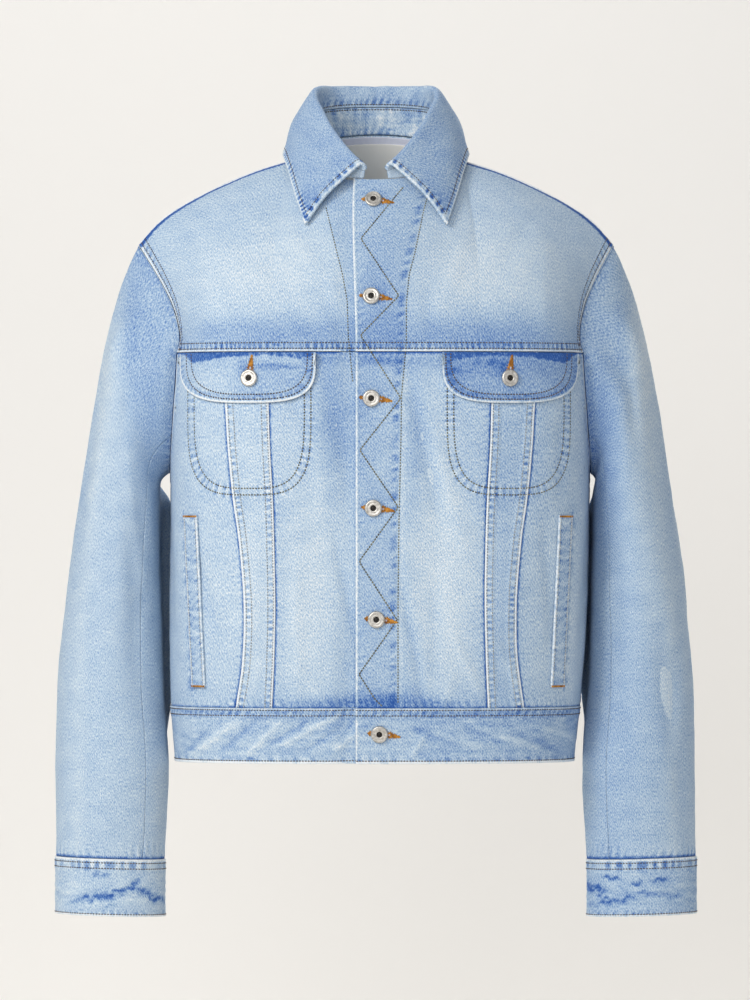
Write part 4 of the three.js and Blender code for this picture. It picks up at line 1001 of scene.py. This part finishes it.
def sleevePaint(side, at, turn):
    def paint(points):
        z = points[..., 2]
        rng = np.random.default_rng(40 + side)
        height, fadeAndShade = 0 * z, 0 * z
        for _ in range(26):  # soft uneven drag lines, longest near the elbow
            middleTurn, middleAt = rng.uniform(-90, 255), rng.uniform(0.06, 0.97)
            length, width = rng.uniform(0.05, 0.16), rng.uniform(8, 14)
            slant, depth = rng.uniform(-170, 170), rng.choice([-1, 1]) * rng.uniform(0.7, 2.0)
            away = turn - middleTurn - slant * (at - middleAt)
            away = away - 360 * np.round(away / 360)
            bell = np.exp(-((away / width) ** 2)) * np.exp(-((1.3 * (at - middleAt) / length) ** 2))
            height = height + depth * bell
            # the drag lines' ridges are painted lighter and their troughs darker: painted highlight and painted shade
            fadeAndShade = fadeAndShade + 0.022 * np.sign(depth) * bell
        height = height * (1 - 0.85 * np.exp(-(((turn - 208) / 30) ** 2)))  # smoother where it nears the body
        inner = smooth((np.abs(((turn + 180) % 360) - 180) - 70) / 60)
        gather = np.sin(2 * np.pi * turn / 9 + 2 * np.sin(turn / 31)) * smooth((at - 0.965) / 0.03) * (0.5 + 0.5 * np.sin(turn / 17))
        deepTop = smooth((0.07 - at) / 0.06)
        crest = np.interp(z, [-700, -600, -527, -431, -355, -259], [-297, -296, -295, -291, -283, -270])
        fade = np.exp(-(((side * points[..., 0] + crest) / 7) ** 2)) * smooth((points[..., 1] - 40) / -40)
        # Painted shade and painted highlight on the sleeve: a dark band down its inner side, where the body shades it,
        # deeper on the +x sleeve, which is further from the key lamp; pale ridges and dark troughs below the shoulder
        # and a darker outer edge. The last two patches darken the top of the -x sleeve and the low outer part of the
        # +x sleeve
        dark = -0.15 if side < 0 else -0.18
        top = fadeAndShadePatches(points * np.array([side, 1, 1]), [
            (222, -250, 22, 110, dark), (262, -190, 12, 90, 0.07), (243, -170, 9, 70, -0.07), (292, -330, 9, 120, -0.05),
            (250, -130, 40, 90, -0.09 if side < 0 else 0), (285, -580, 40, 110, 0 if side < 0 else -0.07)])
        # painted shade on the inner side, which faces the body, on the +x sleeve only
        shade = 0.0 if side < 0 else 0.08
        return height + 0.4 * gather, fadeAndShade - shade * inner + 0.07 * gather - 0.05 * deepTop + 0.06 * fade + top
    return paint


# The sleeve's cloth falls in a long soft ridge on its inner back, close to the body: a bell across, on a smooth curve
sleeveRidge = {"middle": 214, "width": 16, 1: ([0.22, 0.36, 0.5, 0.62, 0.74, 0.88], [0, 8.5, 10.2, 13, 15.5, 0]),
               -1: ([0.2, 0.32, 0.45, 0.6, 0.75, 0.88], [0, 15, 17.5, 18, 16.5, 0])}


def drapeRidge(side, at, turn):
    places, heights = sleeveRidge[side]
    i = np.clip(np.searchsorted(places, at) - 1, 0, len(places) - 2)
    share = smooth((at - np.take(places, i)) / (np.take(places, i + 1) - np.take(places, i)))
    across = (turn - sleeveRidge["middle"]) / sleeveRidge["width"]
    return mix(np.take(heights, i), np.take(heights, i + 1), share) * np.exp(-(across**2))


def addSleeves():
    for side, word, cap in sides:
        for part, start, end, turnWay in (("Top", size["splitBack"] - 360 + 0.26, size["splitFront"] - 0.26, 1),
                                          ("Under", size["splitFront"] + 0.26, size["splitBack"] - 0.26, 1)):
            wide = 290 if part == "Top" else 160
            turn = mix(start, end, spaced(wide, plainStep))[None, :]
            at = mix(0.004, 1, spaced(610, plainStep))[:, None]
            turns, ats = turn + 0 * at, at + 0 * turn
            base = sleevePoint(side, ats, turns)
            base[0, :, 0] += side * 0.9
            base = base + gridNormals(base, side) * drapeRidge(side, ats, turns)[..., None]
            cuffTurns = np.linspace(start, end, 60)
            cuffLine = sleevePoint(side, 1 + 0 * cuffTurns, cuffTurns)
            backLine = sleevePoint(side, np.linspace(0, 1, 80), size["splitBack"] + np.zeros(80))
            style = underStyle(reach=8, pucker=0.4, tone=0.13, seed=27)
            backStyle = seamStyle(seed=28, rise=0.4) if part == "Top" else underStyle(seed=29)
            addCloth(f"sleeve{part}{cap}", f"sleeve_{part.lower()}_{word}", base, size["denim"], lightDenim,
                     turn=side * turnWay,
                     seams=[(armholeLine[side], style), (cuffLine, style), (backLine, backStyle)],
                     paint=sleevePaint(side, ats, turns))
    print("sleeves made")


cuffSize = {"height": 57, "lapAngle": 235, "lap": 30, "proud": 0.6}


# The smears on each cuff's front: x, z, length, slope, half width, tone
cuffSmears = {
    -1: [(-288, -706, 24, -0.22, 2.2, 0.2), (-273, -712, 18, -0.1, 3.0, 0.34), (-278, -735, 32, 0.08, 3.4, 0.55),
         (-262, -731, 26, 0.25, 3.2, 0.58), (-246, -727, 20, 0.1, 2.6, 0.5), (-240, -722, 14, 1.2, 2.6, 0.42),
         (-227, -732, 22, -0.5, 3.4, 0.55), (-216, -738, 14, -0.2, 3.0, 0.5), (-266, -744, 20, 0.4, 2.0, 0.2),
         (-300, -739, 10, 0.2, 2.0, 0.25)],
    1: [(218, -727, 20, -0.4, 4.6, 0.6), (234, -716, 16, -0.1, 2.0, 0.5), (250, -736, 14, 0.3, 2.4, 0.45),
        (233, -738, 17, -0.1, 2.4, 0.62), (282, -717, 16, 0.1, 2.0, 0.5), (259, -721, 13, 0.2, 2.0, 0.45),
        (272, -731, 26, -0.15, 2.2, 0.3), (296, -735, 18, 0.2, 2.0, 0.3), (222, -742, 22, 0.1, 2.2, 0.34)]}


def addCuffs():
    for side, word, cap in sides:
        turn = np.linspace(cuffSize["lapAngle"] - cuffSize["lap"], cuffSize["lapAngle"] + 360, count(350, fine) + 1)
        up = spaced(57, fine)[:, None]
        tuck = 1 - smooth((turn - cuffSize["lapAngle"] + 4) / 40)
        out = cuffSize["proud"] - (size["doubled"] + 0.5) * tuck
        base = cuffPoint(side, turn[None, :] + 0 * up, (1 - up) * cuffSize["height"] + 0 * turn[None, :], out[None, :])

        def cuffPaint(points, side=side):
            # deep blue smears along the creases, with pale ridges above them, and lilac ticks up from the hem
            x, y, z = points[..., 0], points[..., 1], points[..., 2]
            fadeAndShade, height = 0 * x, 0 * x
            facing = smooth((-y - 4) / 6)
            for px, pz, length, slope, width, tone in cuffSmears[side]:
                a = math.atan(slope)
                along = (x - px) * math.cos(a) + (z - pz) * math.sin(a)
                across = -(x - px) * math.sin(a) + (z - pz) * math.cos(a)
                ragged = across + 0.5 * width * seamMarks(along, 0, 9, 0, px) + 0.3 * width * np.sin(along / 1.9 + px)
                bell = np.exp(-((2 * along / length) ** 4)) * np.exp(-((ragged / width) ** 2)) * facing
                bell = bell * (0.45 + 0.55 * smooth(crumple(points, 6, 47) + 0.7))
                fadeAndShade = fadeAndShade - tone * bell + 0.3 * tone * np.exp(-(((across - 2.2 * width) / width) ** 2)) * bell / (bell + 0.3)
                height = height - 1.2 * tone * bell
            behind = 1 - facing
            marks = crumple(points * np.array([1, 1, 3.0]), 26, 33 + side)
            fadeAndShade = fadeAndShade - 0.1 * behind * smooth((marks - 0.5) / 0.6)
            ticks = smooth(seamMarks(x - y, 0, 11, 0, 2 + side) - 0.1) * np.exp(-(((z + 752) / 3.5) ** 2))
            creases = crumple(points * np.array([1, 1, 2.2]), 19, 48 + side) * np.exp(-(((z + 728) / 16) ** 2))
            # the +x cuff is painted darker and the -x cuff lighter: painted shade and painted light, with the key lamp
            # on the -x side
            return height + 0.3 * creases, fadeAndShade - 0.24 * ticks + 0.06 * creases + (0.06 if side < 0 else -0.04)

        low = base[0]
        seams = [(base[-1], seamStyle(wide=11, seed=34, rise=0.3, edge=0.34, pitch=12, tone=0.3, skew=0, deep=-0.02)),
                 (low, seamStyle(wide=3, seed=35, rise=0.1, pucker=0.25, edge=0.34, reach=4, deep=0))]
        addCloth(f"cuff{cap}", f"cuff_{word}", base, size["doubled"], collarDenim, turn=-side, seams=seams, paint=cuffPaint,
                 tone=0.58)
    print("cuffs made")


def pocketBase(side, shape, wide, tall, lift):
    half, low, top, rounding, power = shape
    a = np.linspace(0, 1, count(wide, fine * 0.7) + 1)[None, :]
    b = np.linspace(0, 1, count(tall, fine * 0.7) + 1)[:, None]
    across = np.sin((a - 0.5) * np.pi * 0.998)
    x = size["pocketCentre"] + side * 128 + half * across + 0 * b
    bulge = 1 - (1 - np.abs(across) ** power) ** (1 / power)
    z = mix(low + rounding * bulge, top, b)
    base = bodyPoint(frontAngle(x, z), z)
    return base + gridNormals(base, 1) * lift


def addPockets():
    for side, word, cap in sides:
        bag = pocketBase(side, pocketShape, 135, 140, -size["pocketLift"] - size["denim"])
        addCloth(f"pocketBag{cap}", f"chest_pocket_{word}", bag[::3, ::3], 1.2, lightDenim, soften=0, step=1,
                 widthAt=1)
        flap = pocketBase(side, flapShape, 140, 48, size["pocketLift"] + size["doubled"])
        rimLine = np.concatenate([flap[::-1, 0], flap[0], flap[:, -1]])

        def flapPaint(points, side=side):
            # unfaded blue under the yoke: a wedge that thins towards the button, then broken blotches
            x, z = points[..., 0], points[..., 2]
            out = side * (x - size["pocketCentre"] - side * 128) / 66
            deep = np.interp(out, [-1, -0.75, -0.6, -0.3, 0, 0.35, 0.75, 0.86, 1], [2, 7, 5, 3, 3.5, 4.5, 9.5, 10, 1])
            marks = seamMarks(x, z, 9, 0.6, 3 + side)
            edge = size["yokeZ"] - 1.5 - deep - 0.8 * marks
            strip = smooth((z - edge) / 2.2)
            patchy = np.where(out < 0, 0.5 + 0.5 * smooth(marks + 0.6), 1)
            below = np.exp(-(((z - edge + 7) / 6) ** 2)) * smooth(-out / 0.2) * smooth(crumple(points, 13, 38) + 0.2)
            hole = np.exp(-(((x - size["pocketCentre"] - side * 128 + 4) / 9) ** 2 + ((z + 210) / 8) ** 2))
            inner = np.exp(-(((out + 0.86) / 0.14) ** 2)) * smooth((crumple(points, 11, 39) + 0.5))
            wear = fadeAndShadePatches(points, [(-160, -222, 26, 14, 0.06), (134, -230, 45, 9, 0.05), (160, -222, 20, 12, 0.05),
                                      (-104, -222, 26, 16, -0.07)])
            # the +x flap is painted darker all over: painted shade, as it is further from the key lamp
            fadeAndShade = -0.46 * strip * patchy - 0.2 * below - 0.22 * hole - 0.16 * inner + wear - 0.18 * (side > 0) - 0.05
            return 0.25 * strip * crumple(points, 12, 38), fadeAndShade

        seams = [(rimLine, seamStyle(wide=7.5, seed=39 + side, rise=0.25, pucker=0.3, edge=0.5, tone=0.16, pitch=6.5, reach=4))]
        addCloth(f"pocketFlap{cap}", f"pocket_flap_{word}", flap, size["doubled"], collarDenim, seams=seams, paint=flapPaint,
                 widthAt=1)
        a = np.linspace(-0.5, 0.5, count(13, fine * 0.6) + 1)[None, :]
        b = np.linspace(0, 1, count(170, fine) + 1)[:, None]
        x = 2 + side * (mix(176, 184, b) + a * side * 13 * side)
        z = mix(-525, -355, b) + 0 * a
        welt = bodyPoint(frontAngle(x, z), z)
        welt = welt + gridNormals(welt, side) * (size["pocketLift"] + size["denim"])
        edges = [(welt[:, 0], seamStyle(wide=3, seed=41, rise=0.1, pucker=0.35, tone=0.24, edge=0.3, reach=4)),
                 (welt[:, -1], seamStyle(wide=3, seed=42, rise=0.1, pucker=0.35, tone=0.24, edge=0.3, reach=4))]
        addCloth(f"welt{cap}", f"welt_{word}", welt, size["denim"], lightDenim, turn=side, seams=edges,
                 paint=lambda p: (0 * p[..., 0], 0.08 * crumple(p, 11, 43) - 0.04))
    print("pockets made")


def addNeckPieces():
    def inside(x, down, lift):
        at = np.arcsin(x / size["neckWidth"]) / np.radians(180 - size["shoulderAngle"])
        base = yokePoint(True, at, 1 - down / 232)
        return base - gridNormals(base, 1) * lift

    across = np.linspace(0, 1, 49)[None, :]
    tape = inside(mix(44, -44, across), mix(15.5, 1.5, np.linspace(0, 1, 10)[:, None]), size["denim"] + 1.3)
    addCloth("neckTape", "neck_tape", tape, 0.8, lilacTape, turn=-1, soften=0.4)
    label = inside(mix(31, -31, across), mix(62, 11, np.linspace(0, 1, 40)[:, None]), size["denim"] + 2.5)
    addCloth("neckLabel", "neck_label", label, 0.8, creamLabel, turn=-1, soften=0.5)
    print("neck made")


addFronts()
addBacks()
addWaistband()
addCollar()
addSleeves()
addCuffs()
addPockets()
addNeckPieces()

# buttons, buttonholes and topstitching

buttonSpots = {f"button_front_{k + 1}": spot for k, spot in enumerate(frontButtons)}
buttonSpots.update({"button_flap_left": (131, -220), "button_flap_right": (-125, -220)})
# radius and height of the cap's outline, from the back round its rolled rim to the floor of its hollow
buttonOutline = np.array([
    (0, 0), (3.2, 0), (6.2, 0.2), (8.0, 0.6), (8.5, 1.2), (8.45, 1.9), (8.0, 2.7), (7.2, 3.15), (6.4, 3.1),
    (5.4, 2.75), (4.6, 2.8), (4.0, 2.95), (3.2, 2.9), (2.8, 2.5), (2.6, 1.4)])
buttonFloor = np.array([(2.6, 1.4), (1.6, 1.2), (1.1, 1.6), (0.5, 1.9), (0, 1.95)])


def spin(outline, segments, middle, up):
    sideways = unit(np.cross(up, np.array([0.0, 0.0, 1.0])))
    other = np.cross(sideways, up)
    turn = np.linspace(0, 2 * np.pi, segments, endpoint=False)
    ring = np.cos(turn)[:, None] * sideways + np.sin(turn)[:, None] * other
    points = middle + outline[:, None, :1] * ring[None] + outline[:, None, 1:] * up
    return points.reshape(-1, 3), turn


def addButton(name, node, middle, up):
    segments = 40
    points, _ = spin(np.concatenate([buttonOutline, buttonFloor[1:]]), segments, middle, up)
    rows = len(points) // segments
    index = np.arange(rows * segments).reshape(rows, segments)
    nextOne = np.roll(index, -1, 1)
    faces = np.stack([index[:-1], nextOne[:-1], nextOne[1:], index[1:]], -1).reshape(-1, 4).tolist()
    thing = addMesh(name, points, faces, nickel, [node])
    thing.data.materials.append(hollowShade)
    # the inner wall and floor of the hollow take the painted shade
    dark = np.zeros(len(thing.data.polygons), np.int32)
    dark[(len(buttonOutline) - 2) * segments:] = 1
    thing.data.polygons.foreach_set("material_index", dark)


# A worn buttonhole: stitches side by side across it, from a ragged wide end at the button to a narrow tip
def addHole(line, way, wide, seed):
    ups = np.repeat(way.mean(0, keepdims=True), len(line), 0)

    def lengths(share):
        rough = 1 + 0.2 * np.sin(share * 37 + seed) + 0.14 * np.sin(share * 83 + 2 * seed)
        return mix(wide, 2.0, share**1.3) * rough

    addStitches("tan", line, ups, pitch=0.8, across=True, length=lengths, width=1.05, lift=0.1)
    addStitches("pale", line[: len(line) // 3], ups[: len(line) // 3], pitch=0.8, across=True, length=2.6, width=0.8, lift=0.35)


def addButtons():
    for name, (x, z) in buttonSpots.items():
        if "flap" in name:
            names = ["pocketFlapLeft" if x > 0 else "pocketFlapRight"]
        elif z < size["waistZ"]:
            names = ["waistbandLeft"]
        else:
            names = ["frontYokeLeft" if z > size["yokeZ"] else "frontCentreLeft"]
        spot, way = drape(names, [(x, z)])
        around, ways = drape(names, [(x + 8 * math.cos(a), z + 8 * math.sin(a)) for a in np.linspace(0, 6, 12)])
        up = unit(ways.mean(0))
        addButton(name.replace("button_", "button").replace("_", ""), name, around.mean(0) + up * 0.5, up)
        hole = [(x + 1, z + 7), (x + 3, z + 23)] if "flap" in name else [(x + 8, z - 0.5), (x + 21, z - 3)]
        line, lineWay = drape(names, pathThrough(hole, 1))
        addHole(line, lineWay, 8.5, z)
        if "flap" not in name:  # the hole's other end shows past the button
            addHole(*drape(names, pathThrough([(x - 7, z + 0.5), (x - 11.5, z + 1)], 0.7)), 7.5, z + 1)
    for side, word, cap in sides:
        spot = cuffPoint(side, np.array(221.0), np.array(30.0), 0.6)
        ahead = cuffPoint(side, np.array(222.0), np.array(30.0), 0.6) - spot
        up = unit(np.cross(ahead, np.array([0, 0, -1.0]))) * side
        addButton(f"buttonCuff{cap}", f"button_cuff_{word}", spot + up * 0.5, up)
        line = np.stack([spot + unit(ahead) * t + up * 0.4 for t in np.linspace(5, 17, 12)])
        addHole(line, np.repeat(up[None], 12, 0), 8, side)
    print("buttons made")


zigzag = [(27, -30), (-15, -82), (22.5, -139), (-15.4, -178), (24.5, -240), (-16, -291), (22, -347), (-16.7, -400.5),
          (20.8, -458), (-16.7, -511.5), (-1, -536), (6, -543)]


def addTopstitching():
    for side, word, cap in sides:
        yoke = pieces[f"frontYoke{cap}"]
        for distance in (3.0, 8.6):
            addStitches("brown", *inset(yoke, "bottom", distance))
            addStitches("brown", *inset(yoke, "right", distance + 0.6))
            addStitches("ash", *inset(pieces[f"frontMiddle{cap}"], "left", distance - 1))
            addStitches("ash", *inset(pieces[f"frontMiddle{cap}"], "right", distance))
            addStitches("brown", *inset(pieces[f"waistband{cap}"], "top", distance - 1.2))
            addStitches("brown", *inset(pieces[f"cuff{cap}"], "top", distance + 1))
            addStitches("ash", *inset(pieces[f"sleeveTop{cap}"], "left", distance))
            addStitches("ash", *inset(pieces["backCentre"], "left" if side > 0 else "right", distance))
            addStitches("brown", *inset(pieces["backYoke"], "left" if side > 0 else "right", distance))
        addStitches("brown", *inset(pieces[f"waistband{cap}"], "bottom", 3.0))
        addStitches("brown", *inset(pieces[f"cuff{cap}"], "bottom", 2.2))
        names = [f"frontMiddle{cap}", f"frontCentre{cap}", f"frontSide{cap}"]
        for insetBy in (3.0, 9.4):
            path = pathThrough(pocketOutline(side, pocketShape, insetBy))
            addStitches("olive", *drape(names, path), width=1.35)
        for insetBy in (3.6, 8.4):
            path = pathThrough(pocketOutline(side, flapShape, insetBy))
            addStitches("brown", *drape([f"pocketFlap{cap}"], path), width=1.3)
        welt = pieces[f"welt{cap}"]
        for edge in ("left", "right"):
            addStitches("ash", *inset(welt, edge, 2.2))
        for end in ("top", "bottom"):
            addStitches("tan", *inset(welt, end, 1.2), pitch=0.8, across=True, length=2.6, width=0.9)
    for distance in (3.0, 8.6):
        addStitches("brown", *inset(pieces["backYoke"], "bottom", distance))
        addStitches("brown", *inset(pieces["waistbandBack"], "top", distance - 1.2))
    addStitches("brown", *inset(pieces["waistbandBack"], "bottom", 3.0))
    fall = pieces["collarFall"]
    addStitches("brown", *inset(fall, "top", 6.5, 0.015, 0.985))
    addStitches("brown", *inset(fall, "bottom", 2.8, 0.1, 0.9))
    addStitches("brown", *inset(pieces["collarStand"], "top", 2.0, 0.1, 0.9))
    addStitches("brown", *inset(fall, "left", 6.5, 0.33, 0.95))
    addStitches("brown", *inset(fall, "right", 6.5, 0.33, 0.95))
    fronts = ["frontYokeLeft", "frontCentreLeft"]
    addStitches("olive", *drape(fronts, pathThrough(zigzag)), pitch=3.0, length=3.0, width=1.45)
    zs = np.linspace(-34, -540, 200)
    addStitches("olive", *drape(fronts, np.stack([facingX(zs), zs], -1)))
    zs = np.linspace(-50, -224, 90)
    addStitches("olive", *drape(["frontYokeRight", "frontCentreRight"], np.stack([leftFacingX(zs), zs], -1)))


addButtons()
addTopstitching()
buildStitches("brown", "stitchingBrown", brownThread)
buildStitches("olive", "stitchingOlive", oliveThread)
buildStitches("ash", "stitchingAsh", ashThread)
buildStitches("tan", "stitchingTan", tanThread)
buildStitches("pale", "stitchingPale", lilacTape)

# the setting

# A pale floor and a paper backdrop close behind. The paper lets the back light and the views from behind through
material, tree, shader = newMaterial("pale studio floor")
shader.inputs["Base Color"].default_value = linear("#f0eeea")
shader.inputs["Roughness"].default_value = 1.0
shader.inputs["Specular IOR Level"].default_value = 0.0
floorPaint = material
material, tree, shader = newMaterial("pale paper backdrop")
shader.inputs["Base Color"].default_value = linear("#f7f5f1")
shader.inputs["Roughness"].default_value = 1.0
shader.inputs["Specular IOR Level"].default_value = 0.0
side = addNode(tree, "ShaderNodeNewGeometry")
ray = addNode(tree, "ShaderNodeLightPath")
through = addNode(tree, "ShaderNodeMath", {"operation": "MAXIMUM"},
                  {0: side.outputs["Backfacing"], 1: ray.outputs["Is Shadow Ray"]})
clear = addNode(tree, "ShaderNodeBsdfTransparent")
choice = addNode(tree, "ShaderNodeMixShader", None, {0: through.outputs[0], 1: shader.outputs[0], 2: clear.outputs[0]})
tree.links.new(choice.outputs[0], tree.nodes["Material Output"].inputs["Surface"])
backdropPaint = material


def addStage(name, corners, paint):
    mesh = bpy.data.meshes.new(name)
    mesh.from_pydata(corners, [], [(0, 1, 2, 3)])
    mesh.materials.append(paint)
    thing = bpy.data.objects.new(name, mesh)
    bpy.context.scene.collection.objects.link(thing)


addStage("floor", [(-9, -9, -1.1), (9, -9, -1.1), (9, 9, -1.1), (-9, 9, -1.1)], floorPaint)
addStage("backdrop", [(-5, 1.8, -1.1), (5, 1.8, -1.1), (5, 1.8, 3), (-5, 1.8, 3)], backdropPaint)


def addLight(name, place, aim, width, power, colour):
    light = bpy.data.lights.new(name, "AREA")
    light.shape, light.size, light.energy, light.color = "DISK", width, power, linear(colour)[:3]
    lamp = bpy.data.objects.new(name, light)
    lamp.location = place
    way = np.array(aim) - np.array(place)
    lamp.rotation_euler = (math.acos(-way[2] / np.linalg.norm(way)), 0, math.atan2(way[1], way[0]) - math.pi / 2)
    bpy.context.scene.collection.objects.link(lamp)


addLight("key", (-1.6, -2.0, 0.9), (0, 0, -0.32), 1.1, 38, "#fffcf8")
addLight("front", (-0.7, -4.2, 1.0), (0, 0, -0.3), 1.2, 36, "#fdfdff")
addLight("fill", (2.2, -3.4, -0.1), (0, 0, -0.35), 2.4, 8, "#f7f8ff")
addLight("paper", (-0.2, 0.8, 1.7), (-0.2, 1.8, 0.1), 1.0, 8, "#ffffff")
addLight("back", (0.8, 4.0, 1.2), (0, 0, -0.3), 2.0, 90, "#ffffff")
world = bpy.data.worlds.new("pale room")
world.use_nodes = True
world.node_tree.nodes["Background"].inputs["Color"].default_value = linear("#f1f1f3")
world.node_tree.nodes["Background"].inputs["Strength"].default_value = 0.44
bpy.context.scene.world = world
bpy.context.scene.view_settings.view_transform = "Standard"

camera = bpy.data.cameras.new("camera")
camera.lens, camera.sensor_width = 288, 36
view = bpy.data.objects.new("camera", camera)
view.location = (-0.001, -8, -0.34)
view.rotation_euler = (math.pi / 2, 0, 0)
bpy.context.scene.collection.objects.link(view)
bpy.context.scene.camera = view
